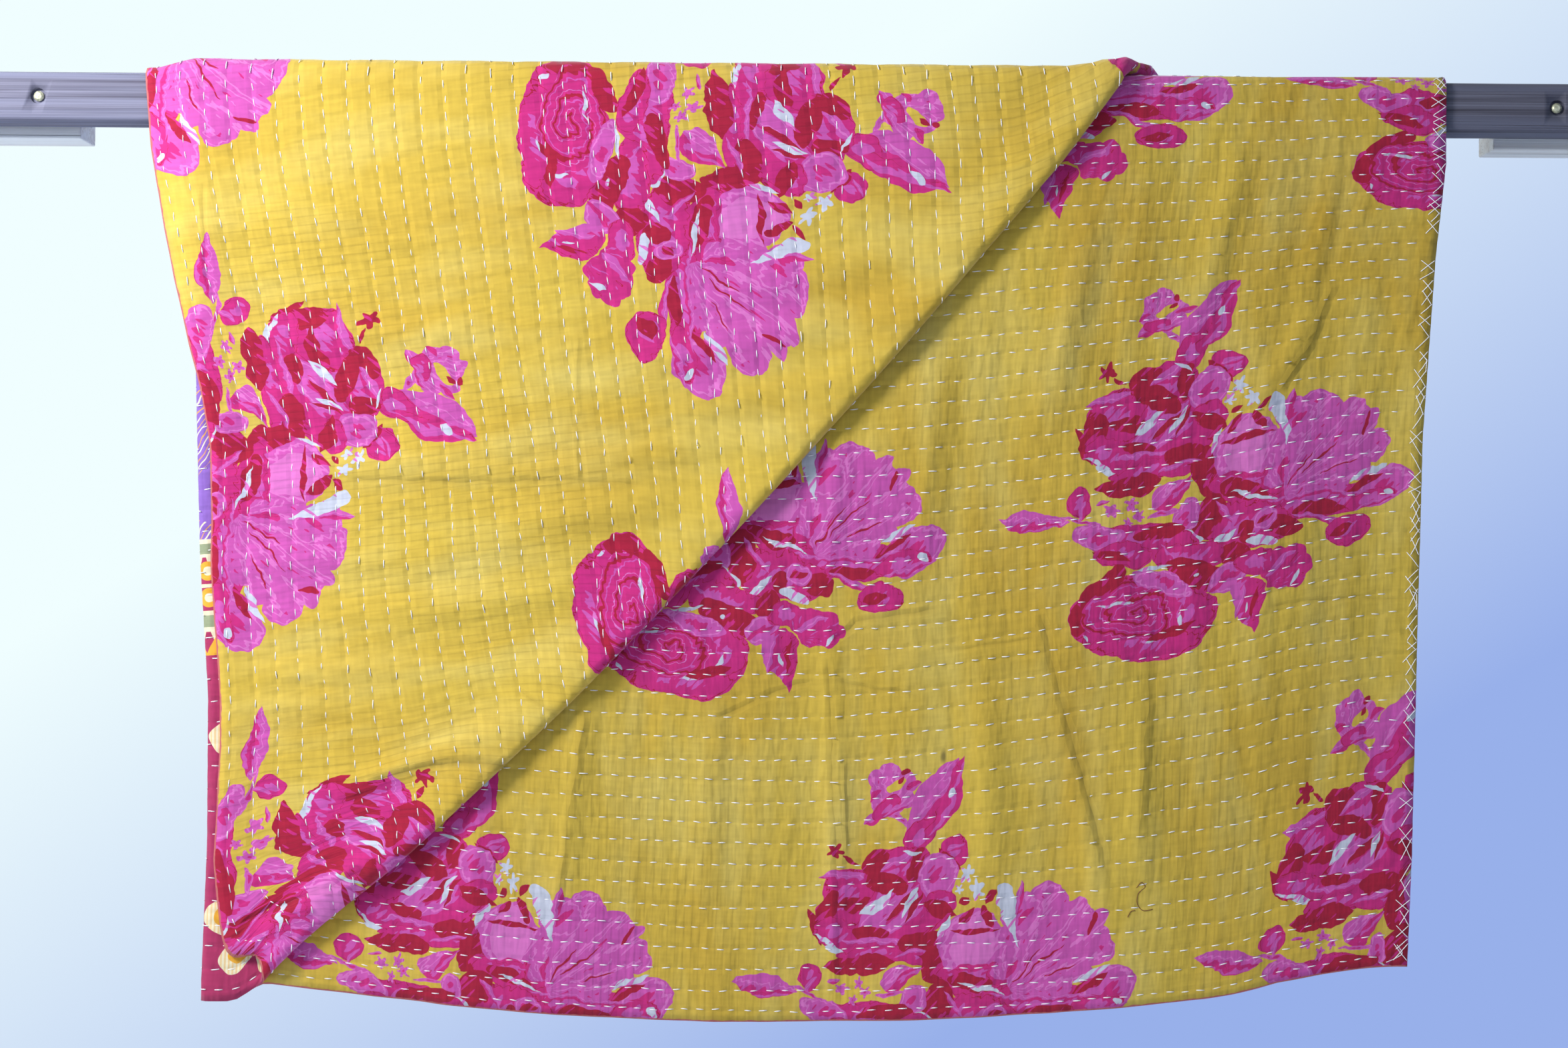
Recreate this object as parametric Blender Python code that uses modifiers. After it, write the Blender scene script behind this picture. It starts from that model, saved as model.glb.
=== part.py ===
"""A kantha quilt hung over a wall rail.

The quilt is one sheet, folded like a book with its print inside, so that the fold edge hangs at the
left, and laid over the rail as two layers. The front layer's lower right corner is then turned back
along a diagonal and thrown over the rail. Metres, +Z up, +X along the rail, the wall at Y = 0 and
the room at -Y. The origin is the middle of the left wall block's back face.
"""

import math

import bmesh
import bpy
from mathutils import Vector

# Rail, wall blocks and bolts
RAIL_LENGTH = 1.500
RAIL_HEIGHT = 0.044
RAIL_DEPTH = 0.042
RAIL_EDGE = 0.006  # radius of the rail's worn edges
BLOCK_LENGTH = 0.100
BLOCK_DEPTH = 0.048
BLOCK_BELOW = 0.009  # how far a block shows under the rail
BLOCK_INNER = 0.628  # from the rail's middle to a block's inner end
BLOCK_EDGE = 0.0015
SEAT = 0.0003  # between pieces that touch
BOLTS = {"rail_bolt_left": -0.654, "rail_bolt_right": 0.672}  # along the rail, from its middle
BOLT_HEAD, BOLT_HEAD_HIGH = 0.0045, 0.0026  # radius and height
BOLT_SHANK, BOLT_LENGTH = 0.0030, 0.070
SINK_RADIUS, SINK_DEPTH = 0.0068, 0.0036  # the sink that a bolt's head sits in
ROUND_STEPS = 28

# The quilt, flat
HALF_LENGTH = 1.075  # from the book fold to either short end
WIDTH = 1.400  # from the front hem, over the rail, to the back hem
THICKNESS = 0.0024
ROWS = 77  # rows of running stitch, each in a shallow groove
GROOVE = 0.0005  # how far a row lies in, and the cloth between rows out

# The quilt, hung
PITCH = 0.0040  # from one layer's middle to the next
FRONT_DROP = 0.7926  # from the front hem up to the level of the rail's top
TOP_CLEAR = 0.0004  # over the rail's top
EDGE_CLEAR = 0.0020  # round the rail's edges
BOOK_RADIUS = 0.0030
TURN_RADIUS = 0.0045
TURN_TAPER = 0.060  # over this width the turned corner's puffed fold goes flat
TURN_START = 0.040  # where the diagonal leaves the front hem
TURN_ANGLE = math.radians(48.1)
TURN_BULGE, BULGE_SPAN = 0.068, 0.98  # the diagonal bows outwards by this over this height
OVERHANG = 0.045  # how far the turned corner reaches past the book fold, where it sinks to the rail

# The quilt's edges, from the rail's middle, at heights along the cloth above the front hem
#          height   left    right
EDGES = (
    (0.00, -0.5026, 0.5430),
    (0.12, -0.4985, 0.5480),
    (0.25, -0.4985, 0.5510),
    (0.37, -0.5066, 0.5530),
    (0.48, -0.5100, 0.5545),
    (0.56, -0.5120, 0.5595),
    (0.64, -0.5140, 0.5650),
    (0.72, -0.5150, 0.5740),
    (0.88, -0.5150, 0.5740),
    (1.40, -0.5080, 0.5640),
)

# How far the turned corner's edge is drawn to the left
#         height, draw
PULLS = (
    (0.00, -0.018),
    (0.09, -0.028),
    (0.17, -0.031),
    (0.27, -0.016),
    (0.35, -0.009),
    (0.46, -0.003),
    (0.52, -0.003),
    (0.61, -0.009),
    (0.70, -0.008),
    (0.78, -0.011),
    (0.88, -0.008),
    (1.00, 0.000),
)

# How far the stack stands out at its two hems, between these columns of the sheet
#           column  front   back
SWELLS = (
    (0.000, 0.000, 0.004),
    (0.310, 0.012, 0.002),
    (0.548, 0.003, 0.009),
    (0.780, 0.014, 0.003),
    (1.075, 0.004, 0.008),
)

# Soft creases: face "rear" or "turned", their two ends as (across, height), half width and rise
#            face      from            to              half    rise
CREASES = (
    ("rear", (0.562, 0.400), (0.548, 0.020), 0.022, 0.0060),
    ("rear", (0.775, 0.215), (0.790, 0.060), 0.030, 0.0035),
    ("rear", (0.320, 0.170), (0.300, 0.020), 0.030, 0.0035),
    ("turned", (0.090, 0.449), (0.400, 0.452), 0.020, 0.0035),
    ("turned", (0.440, 0.545), (0.560, 0.600), 0.030, 0.0050),
    ("turned", (0.050, 0.050), (0.160, 0.098), 0.016, 0.0040),
)

# Columns of points, cut over the heights where a crease needs them
#           column  from    to
COLUMNS = (
    (-0.780, 0.00, WIDTH),
    (-0.548, 0.00, WIDTH),
    (-0.310, 0.00, WIDTH),
    (-0.120, 0.00, 0.30),
    (-0.092, 0.00, 0.20),
    (-0.470, 0.00, 0.44),
    (-0.511, 0.00, 0.44),
    (0.310, 0.00, WIDTH),
    (0.526, 0.00, 0.46),
    (0.548, 0.00, WIDTH),
    (0.572, 0.00, 0.46),
    (0.780, 0.00, WIDTH),
)

COLOURS = {
    #             colour                roughness, metallic
    "quilt cloth": ((0.72, 0.47, 0.045), 0.92, 0.0),
    "rail wood": ((0.20, 0.17, 0.21), 0.80, 0.0),
    "block wood": ((0.42, 0.36, 0.31), 0.82, 0.0),
    "bolt metal": ((0.55, 0.54, 0.47), 0.45, 0.8),
}

RAIL_MIDDLE = Vector(
    (
        BLOCK_INNER + BLOCK_LENGTH / 2,
        -(BLOCK_DEPTH + SEAT + RAIL_DEPTH / 2),
        BLOCK_BELOW,
    )
)
RAIL_TOP = RAIL_MIDDLE.z + RAIL_HEIGHT / 2
BOOK_TURN, CORNER_TURN = math.pi * BOOK_RADIUS, math.pi * TURN_RADIUS  # cloth used in each fold
LAYER_0 = TOP_CLEAR + THICKNESS / 2  # the rear layer's middle above the rail
BEND = RAIL_EDGE + EDGE_CLEAR - TOP_CLEAR  # radius that layer heights are added to at an edge
BEND_LENGTH = math.pi / 2 * (BEND + LAYER_0 + PITCH)  # cloth over one edge, in the middle layer
FLAT_TOP = RAIL_DEPTH - 2 * RAIL_EDGE
FRONT_BEND = FRONT_DROP - RAIL_EDGE  # height along the cloth where the front bend starts
BACK_BEND = FRONT_BEND + BEND_LENGTH + FLAT_TOP
BACK_DROP = BACK_BEND + BEND_LENGTH  # height along the cloth where the back drop starts


def clamp(x):
    return min(max(x, 0.0), 1.0)


def ease(a, b, x):
    t = clamp((x - a) / (b - a))
    return t * t * (3 - 2 * t)


def hump(x):
    return 0.5 + 0.5 * math.cos(math.pi * x) if abs(x) < 1 else 0.0


def between(table, x, column):
    """The table's column at x, straight between its rows."""
    for low, high in zip(table, table[1:]):
        if x <= high[0] or high is table[-1]:
            return low[column] + clamp((x - low[0]) / (high[0] - low[0])) * (high[column] - low[column])


# How the flat sheet folds


def turned(past, radius, rise, taper):
    """(reach, lift) of cloth this far past a fold line: round the fold, then back on itself, sinking to rise."""
    if past <= 0:
        return past, 0.0
    if past < math.pi * radius:
        angle = past / radius
        return radius * math.sin(angle), radius * (1 - math.cos(angle))
    back = past - math.pi * radius
    return -back, rise + (2 * radius - rise) * hump(back / taper)


def book_puff(across):
    """How far the front layer still stands off near the book fold. It sinks evenly to the first column."""
    return (2 * BOOK_RADIUS - PITCH) * (1 - clamp(across / SWELLS[1][0]))


def bow(across, height):
    """The diagonal's outward bow, which fades across the cloth behind it."""
    line = TURN_START + height / math.tan(TURN_ANGLE)
    fade = (1 - ease(0, 0.6, line - across)) * ease(0, 0.12, across)
    return TURN_BULGE * math.sin(math.pi * clamp(height / BULGE_SPAN)) * fade


def folded(u, v):
    """(face, across, height, lift) of a point of the flat sheet. Lift is the layer's height over the rear one."""
    if u > 0:
        return "rear", u, v + sag(u, v), 0.0
    reach, lift = turned(-u, BOOK_RADIUS, 2 * BOOK_RADIUS, 1.0)
    across = -reach
    if -u < BOOK_TURN:
        return "book", across, v, lift
    sine, cosine = math.sin(TURN_ANGLE), math.cos(TURN_ANGLE)
    past = (across - TURN_START) * sine - v * cosine
    along = (across - TURN_START) * cosine + v * sine
    reach, rise = turned(past, TURN_RADIUS, PITCH, TURN_TAPER)
    across = TURN_START + along * cosine + reach * sine
    height = along * sine - reach * cosine
    face = "front" if past <= 0 else "turned"
    if face == "turned":
        across += edge_drift(across, height)
    across += bow(across, height)
    lift = PITCH + book_puff(across) + rise
    if across < -BOOK_RADIUS:
        sunk = ease(BOOK_RADIUS, OVERHANG, -across)
        lift *= 1 - sunk
    return face, across, height, lift


def edge_drift(across, height):
    """The turned corner's free edge: it bellies at its middle, and behind the rail its tip swings in."""
    belly = 0.016 * math.exp(-(((height - 0.56) / 0.12) ** 2)) * (1 - ease(0, 0.35, across))
    swing = 0.060 * ease(BACK_BEND, 1.04, height) * (1 - ease(0.05, 0.45, across))
    line = TURN_START + height / math.tan(TURN_ANGLE)
    pull = between(PULLS, height, 1) * (1 - ease(0.2 * line, 0.9 * line, across))
    return belly + swing + pull


def sag(across, height):
    """The rear layer's hem and rows: low at their middle, high at the right, and calmer at the rail."""
    middle = -0.031 * math.cos(math.pi / 2 * min(abs(across - 0.5) / 0.46, 1))
    right = 0.022 * ease(0.89, 1.07, across)
    return (middle + right) * (1 - 0.8 * ease(0.2, 0.8, height))


# How the folded sheet hangs


def crease(face, across, height):
    """The rise of the creases of one face at a point."""
    rise = 0.0
    for on, start, end, half, high in CREASES:
        if on != face:
            continue
        line = Vector(end) - Vector(start)
        from_start = Vector((across, height)) - Vector(start)
        share = clamp(from_start.dot(line) / line.length_squared)
        off = (from_start - share * line).length
        rise += high * hump(off / half) * math.sin(math.pi * share) ** 0.6
    return rise


def groove(v, taut):
    """The rows' grooves, which the rail pulls flat."""
    return GROOVE * (1 - 0.7 * taut) * math.cos(2 * math.pi * ROWS * v / WIDTH)


def crumple(face, across, height):
    """The thrown corner's loose tip behind the rail, in soft pleats."""
    loose = ease(BACK_DROP + 0.02, 1.02, height) * (1 - ease(-0.02, 0.10, across))
    return 0.007 * loose * (1 + math.sin(across / 0.007)) if face == "turned" else 0.0


def hung(u, v):
    """Where a point of the flat sheet's middle hangs."""
    face, across, height, lift = folded(u, v)
    droop = 0.016 * (1 - ease(0.020, 0.055, across)) * math.exp(-((height / 0.15) ** 2))
    height -= droop
    left, right = between(EDGES, height, 1), between(EDGES, height, 2)
    x = left + BOOK_RADIUS + across * (right - left - BOOK_RADIUS) / HALF_LENGTH
    taut = ease(0.06, 0.0, FRONT_BEND - height) * ease(0.06, 0.0, height - BACK_DROP)
    out = LAYER_0 + lift + groove(v, taut) + crease(face, across, height) + crumple(face, across, height)
    top = RAIL_TOP - RAIL_EDGE
    front, back = RAIL_MIDDLE.y - FLAT_TOP / 2, RAIL_MIDDLE.y + FLAT_TOP / 2
    if height < FRONT_BEND:
        out += between(SWELLS, across, 1) * (FRONT_BEND - height) / FRONT_BEND
        y, z = front - BEND - out, top - (FRONT_BEND - height)
    elif height < FRONT_BEND + BEND_LENGTH:
        angle = math.pi / 2 * (height - FRONT_BEND) / BEND_LENGTH
        y, z = front - (BEND + out) * math.cos(angle), top + (BEND + out) * math.sin(angle)
    elif height < BACK_BEND:
        share = (height - FRONT_BEND - BEND_LENGTH) / FLAT_TOP
        dip = (EDGE_CLEAR - TOP_CLEAR) * (1 - abs(2 * share - 1))
        y, z = front + share * FLAT_TOP, top + BEND + out - dip
    elif height < BACK_DROP:
        angle = math.pi / 2 * (height - BACK_BEND) / BEND_LENGTH
        y, z = back + (BEND + out) * math.sin(angle), top + (BEND + out) * math.cos(angle)
    else:
        out += between(SWELLS, across, 2) * (height - BACK_DROP) / (WIDTH - BACK_DROP)
        y, z = back + BEND + out, top - (height - BACK_DROP)
    return Vector((RAIL_MIDDLE.x + x, y, z))


# The quilt's mesh


def cut(sheet, point, normal, wanted):
    """Cuts the faces whose middles are wanted along a straight line."""
    faces = [f for f in sheet.faces if wanted(f.calc_center_median())]
    around = {e for f in faces for e in f.edges} | {v for f in faces for v in f.verts}
    bmesh.ops.bisect_plane(
        sheet, geom=faces + list(around), dist=2e-4, plane_co=(*point, 0), plane_no=(*normal, 0)
    )


def past_turn(middle):
    """How far a face of the front layer lies past the diagonal."""
    across = -middle.x - BOOK_TURN
    return (across - TURN_START) * math.sin(TURN_ANGLE) - middle.y * math.cos(TURN_ANGLE)


def flat_sheet():
    """The sheet in its own plane, with points on every row, fold and bend."""
    sheet = bmesh.new()
    bmesh.ops.create_grid(sheet, x_segments=1, y_segments=2 * ROWS, size=0.5)
    bmesh.ops.scale(sheet, vec=(2 * HALF_LENGTH, WIDTH, 1), verts=sheet.verts)
    bmesh.ops.translate(sheet, vec=(0, WIDTH / 2, 0), verts=sheet.verts)
    for u in (0, -BOOK_TURN / 2, -BOOK_TURN):
        cut(sheet, (u, 0), (1, 0), lambda middle: True)
    sine, cosine = math.sin(TURN_ANGLE), math.cos(TURN_ANGLE)
    for past in (0, CORNER_TURN / 2, CORNER_TURN):
        start = -(TURN_START + past / sine + BOOK_TURN)
        cut(sheet, (start, 0), (-sine, -cosine), lambda middle: middle.x < -BOOK_TURN)
    double = 2 * TURN_ANGLE
    for bend in (FRONT_BEND, BACK_BEND):
        for share in (0, 0.5, 1):
            height = bend + share * BEND_LENGTH
            across = TURN_START + (height + CORNER_TURN * cosine) / math.sin(double)
            cut(
                sheet,
                (-across - BOOK_TURN, 0),
                (-math.sin(double), -math.cos(double)),
                lambda middle: middle.x < -BOOK_TURN and past_turn(middle) > CORNER_TURN,
            )
    for u, low, high in COLUMNS:
        cut(sheet, (u, 0), (1, 0), lambda middle: low <= middle.y <= high)
    return sheet


# The scene's collections, materials and pieces


def clear_scene():
    for obj in list(bpy.data.objects):
        bpy.data.objects.remove(obj)


def collection(name):
    made = bpy.data.collections.new(name)
    bpy.context.scene.collection.children.link(made)
    return made


def material(name):
    made = bpy.data.materials.new(name)
    made.use_nodes = True
    shader = made.node_tree.nodes["Principled BSDF"]
    colour, roughness, metallic = COLOURS[name]
    shader.inputs["Base Color"].default_value = (*colour, 1)
    shader.inputs["Roughness"].default_value = roughness
    shader.inputs["Metallic"].default_value = metallic
    made.diffuse_color = (*colour, 1)
    return made


def piece(name, mesh, finish, into):
    obj = bpy.data.objects.new(name, mesh)
    mesh.materials.append(finish)
    into.objects.link(obj)
    return obj


def make_quilt(into, finish):
    sheet = flat_sheet()
    for vertex in sheet.verts:
        vertex.co = hung(vertex.co.x, vertex.co.y)
    mesh = bpy.data.meshes.new("quilt")
    sheet.to_mesh(mesh)
    sheet.free()
    mesh.shade_smooth()
    quilt = piece("quilt", mesh, finish, into)
    solid = quilt.modifiers.new("thickness", "SOLIDIFY")
    solid.thickness = THICKNESS
    solid.offset = 0
    solid.use_even_offset = False
    return quilt


def box(name, size, place, edge, finish, into):
    made = bmesh.new()
    bmesh.ops.create_cube(made, size=1)
    bmesh.ops.scale(made, vec=size, verts=made.verts)
    mesh = bpy.data.meshes.new(name)
    made.to_mesh(mesh)
    made.free()
    obj = piece(name, mesh, finish, into)
    obj.location = place
    rounding = obj.modifiers.new("edges", "BEVEL")
    rounding.width = edge
    rounding.segments = 3
    return obj


def drill(name, radius, depth, place, into):
    """A cutter that stands on the rail's front face and goes in by depth."""
    made = bmesh.new()
    bmesh.ops.create_cone(
        made, cap_ends=True, segments=ROUND_STEPS, radius1=radius, radius2=radius, depth=2 * depth
    )
    mesh = bpy.data.meshes.new(name)
    made.to_mesh(mesh)
    made.free()
    obj = bpy.data.objects.new(name, mesh)
    into.objects.link(obj)
    obj.location = place
    obj.rotation_euler.x = math.pi / 2
    obj.hide_render = True
    obj.display_type = "WIRE"
    return obj


def bore(obj, cutter):
    hole = obj.modifiers.new(cutter.name, "BOOLEAN")
    hole.operation = "DIFFERENCE"
    hole.solver = "EXACT"
    hole.object = cutter


def make_bolt(name, x, finish, into):
    """A round-headed bolt from the rail's front, through the rail and into its block."""
    crown = 0.0008
    profile = (
        (0, BOLT_HEAD_HIGH),
        (0.6 * BOLT_HEAD, BOLT_HEAD_HIGH - 0.3 * crown),
        (BOLT_HEAD, BOLT_HEAD_HIGH - 2 * crown),
        (BOLT_HEAD, 0),
        (BOLT_SHANK, 0),
        (BOLT_SHANK, -BOLT_LENGTH),
        (0, -BOLT_LENGTH),
    )
    mesh = bpy.data.meshes.new(name)
    steps = [(i, i + 1) for i in range(len(profile) - 1)]
    mesh.from_pydata([(r, 0, z) for r, z in profile], steps, [])
    obj = piece(name, mesh, finish, into)
    turn = obj.modifiers.new("turning", "SCREW")
    turn.steps = turn.render_steps = ROUND_STEPS
    turn.use_merge_vertices = True
    turn.merge_threshold = 1e-5
    front = RAIL_MIDDLE.y - RAIL_DEPTH / 2
    obj.location = (RAIL_MIDDLE.x + x, front + SINK_DEPTH - SEAT, RAIL_MIDDLE.z)
    obj.rotation_euler.x = math.pi / 2
    return obj


def make_rail_and_blocks(into, cutters, finishes):
    size = (RAIL_LENGTH, RAIL_DEPTH, RAIL_HEIGHT)
    rail = box("rail", size, RAIL_MIDDLE, RAIL_EDGE, finishes["rail wood"], into)
    blocks = {}
    for side, sign in (("left", -1), ("right", 1)):
        x = RAIL_MIDDLE.x + sign * (BLOCK_INNER + BLOCK_LENGTH / 2)
        blocks[side] = box(
            "wall_block_" + side,
            (BLOCK_LENGTH, BLOCK_DEPTH, RAIL_HEIGHT),
            (x, -BLOCK_DEPTH / 2, 0),
            BLOCK_EDGE,
            finishes["block wood"],
            into,
        )
    front = RAIL_MIDDLE.y - RAIL_DEPTH / 2
    for name, x in BOLTS.items():
        place = (RAIL_MIDDLE.x + x, front, RAIL_MIDDLE.z)
        sink = drill(name + "_sink", SINK_RADIUS, SINK_DEPTH, place, cutters)
        hole = drill(name + "_hole", BOLT_SHANK + SEAT, BOLT_LENGTH + 0.004, place, cutters)
        make_bolt(name, x, finishes["bolt metal"], into)
        bore(rail, sink)
        bore(rail, hole)
        bore(blocks[name.rsplit("_", 1)[1]], hole)


def main():
    clear_scene()
    into, cutters = collection("kantha_quilt_on_rail"), collection("cutters")
    finishes = {name: material(name) for name in COLOURS}
    make_quilt(into, finishes["quilt cloth"])
    make_rail_and_blocks(into, cutters, finishes)


main()
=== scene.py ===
# A kantha quilt, folded double over a wooden wall rail, with one corner turned back and thrown over.
# Metres, +Z up, +X along the rail, the wall at Y = 0 and the room at -Y.
import math
import random

import bmesh
import bpy
from mathutils import Matrix, Vector, noise


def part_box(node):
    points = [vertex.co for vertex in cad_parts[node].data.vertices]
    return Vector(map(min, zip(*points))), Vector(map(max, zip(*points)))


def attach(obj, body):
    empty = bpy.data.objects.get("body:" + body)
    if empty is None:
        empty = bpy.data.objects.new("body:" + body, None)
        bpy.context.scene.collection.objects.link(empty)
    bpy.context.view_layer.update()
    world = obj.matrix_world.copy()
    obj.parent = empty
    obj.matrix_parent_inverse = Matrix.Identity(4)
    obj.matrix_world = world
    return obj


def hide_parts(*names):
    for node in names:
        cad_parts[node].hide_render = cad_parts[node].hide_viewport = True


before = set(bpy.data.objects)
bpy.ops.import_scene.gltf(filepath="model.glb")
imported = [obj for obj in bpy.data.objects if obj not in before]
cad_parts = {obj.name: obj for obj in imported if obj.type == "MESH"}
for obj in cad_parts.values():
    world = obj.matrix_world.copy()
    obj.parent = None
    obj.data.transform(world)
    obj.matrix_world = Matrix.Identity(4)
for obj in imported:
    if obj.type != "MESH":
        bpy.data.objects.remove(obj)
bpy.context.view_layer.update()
railLow, railHigh = (Vector(corner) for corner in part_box("rail"))
railMiddle = (railLow + railHigh) / 2
railSize = railHigh - railLow


def clamp(x):
    return min(max(x, 0.0), 1.0)


def ease(a, b, x):
    t = clamp((x - a) / (b - a))
    return t * t * (3 - 2 * t)


def hump(x):
    return 0.5 + 0.5 * math.cos(math.pi * x) if abs(x) < 1 else 0.0


def between(table, x, column):
    for low, high in zip(table, table[1:]):
        if x <= high[0] or high is table[-1]:
            return low[column] + clamp((x - low[0]) / (high[0] - low[0])) * (high[column] - low[column])


def paint(red, green, blue):
    # a colour as it looks, 0 to 255, made linear
    parts = (red, green, blue)
    return tuple(((c / 255 + 0.055) / 1.055) ** 2.4 if c > 10 else c / 3295 for c in parts) + (1,)


# ---- shader maths: a wrapped socket and its node tree


class Socket:
    def __init__(self, dye, out):
        self.dye = dye
        self.out = out

    def joined(self, operation, first, second):
        return self.dye.node("Math", {"operation": operation}, {0: first, 1: second})

    def __add__(self, other):
        return self.joined("ADD", self, other)

    def __sub__(self, other):
        return self.joined("SUBTRACT", self, other)

    def __rsub__(self, other):
        return self.joined("SUBTRACT", other, self)

    def __mul__(self, other):
        return self.joined("MULTIPLY", self, other)

    def __truediv__(self, other):
        return self.joined("DIVIDE", self, other)

    def __lt__(self, other):
        return self.joined("LESS_THAN", self, other)

    def __gt__(self, other):
        return self.joined("GREATER_THAN", self, other)

    def __abs__(self):
        return self.joined("ABSOLUTE", self, 0)

    __radd__ = __add__
    __rmul__ = __mul__


class Dye:
    def __init__(self, name, group=None):
        self.group = group
        if group is None:
            self.material = bpy.data.materials.new(name)
            self.material.use_nodes = True
            self.shader = self.material.node_tree.nodes["Principled BSDF"]
        self.tree = group or self.material.node_tree

    def node(self, kind, settings=None, inputs=None, out=0):
        made = self.tree.nodes.new(kind if kind.startswith("Node") else "ShaderNode" + kind)
        for key, value in (settings or {}).items():
            if key == "stops":
                self.fillRamp(made.color_ramp, value)
            else:
                setattr(made, key, value)
        for key, value in (inputs or {}).items():
            if isinstance(value, Socket):
                self.tree.links.new(value.out, made.inputs[key])
            else:
                made.inputs[key].default_value = value
        return Socket(self, made.outputs[out])

    def fillRamp(self, ramp, stops):
        ramp.interpolation = "CONSTANT"
        while len(ramp.elements) < len(stops):
            ramp.elements.new(1)
        for element, (place, colour) in zip(ramp.elements, stops):
            element.position = place
            element.color = colour

    def sheetPlace(self):
        return self.node("UVMap", {"uv_map": "sheet"})

    def split(self, vector, count=2):
        made = self.node("SeparateXYZ", None, {0: vector})
        return [Socket(self, made.out.node.outputs[i]) for i in range(count)]

    def joinXY(self, x, y, z=0):
        return self.node("CombineXYZ", None, {0: x, 1: y, 2: z})

    def mix(self, share, under, over):
        return self.node("Mix", {"data_type": "RGBA"}, {0: share, 6: under, 7: over}, 2)

    def speckle(self, place, scale, detail=2.0, stretch=(1, 1, 1)):
        scaled = self.node("VectorMath", {"operation": "MULTIPLY"}, {0: place, 1: stretch})
        return self.node("TexNoise", None, {"Vector": scaled, "Scale": scale, "Detail": detail})

    def alongAxis(self, place, x, y, cosine, sine, reach):
        # how far the place lies from (x, y) along a direction, in parts of reach; the place's Z is 1
        axis = (cosine / reach, sine / reach, -(x * cosine + y * sine) / reach)
        return self.node("VectorMath", {"operation": "DOT_PRODUCT"}, {0: place, 1: axis}, 1)

    def drift(self, place, scale, detail):
        # noise in each direction, either side of nought
        noisy = self.node("TexNoise", None, {"Vector": place, "Scale": scale, "Detail": detail}, 1)
        return self.node("VectorMath", {"operation": "SUBTRACT"}, {0: noisy, 1: (0.5, 0.5, 0.5)})

    def scaledOnto(self, vector, scale, other):
        return self.node("VectorMath", {"operation": "MULTIPLY_ADD"}, {0: vector, 1: scale, 2: other})

    def length(self, vector):
        return self.node("VectorMath", {"operation": "LENGTH"}, {0: vector}, 1)

    def wrap(self, value):
        return self.node("Math", {"operation": "FRACT"}, {0: value})

    def whole(self, value):
        return self.node("Math", {"operation": "FLOOR"}, {0: value})

    def spread(self, value, low, high, to=(0, 1)):
        return self.node("MapRange", None, {0: value, 1: low, 2: high, 3: to[0], 4: to[1]})

    def set(self, **inputs):
        for name, value in inputs.items():
            socket = self.shader.inputs[name.replace("_", " ")]
            if isinstance(value, Socket):
                self.tree.links.new(value.out, socket)
            else:
                socket.default_value = value

    def bump(self, height, distance, strength=1.0):
        inputs = {"Strength": strength, "Distance": distance, "Height": height}
        self.set(Normal=self.node("Bump", None, inputs))


# ---- the quilt's cloth

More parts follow.
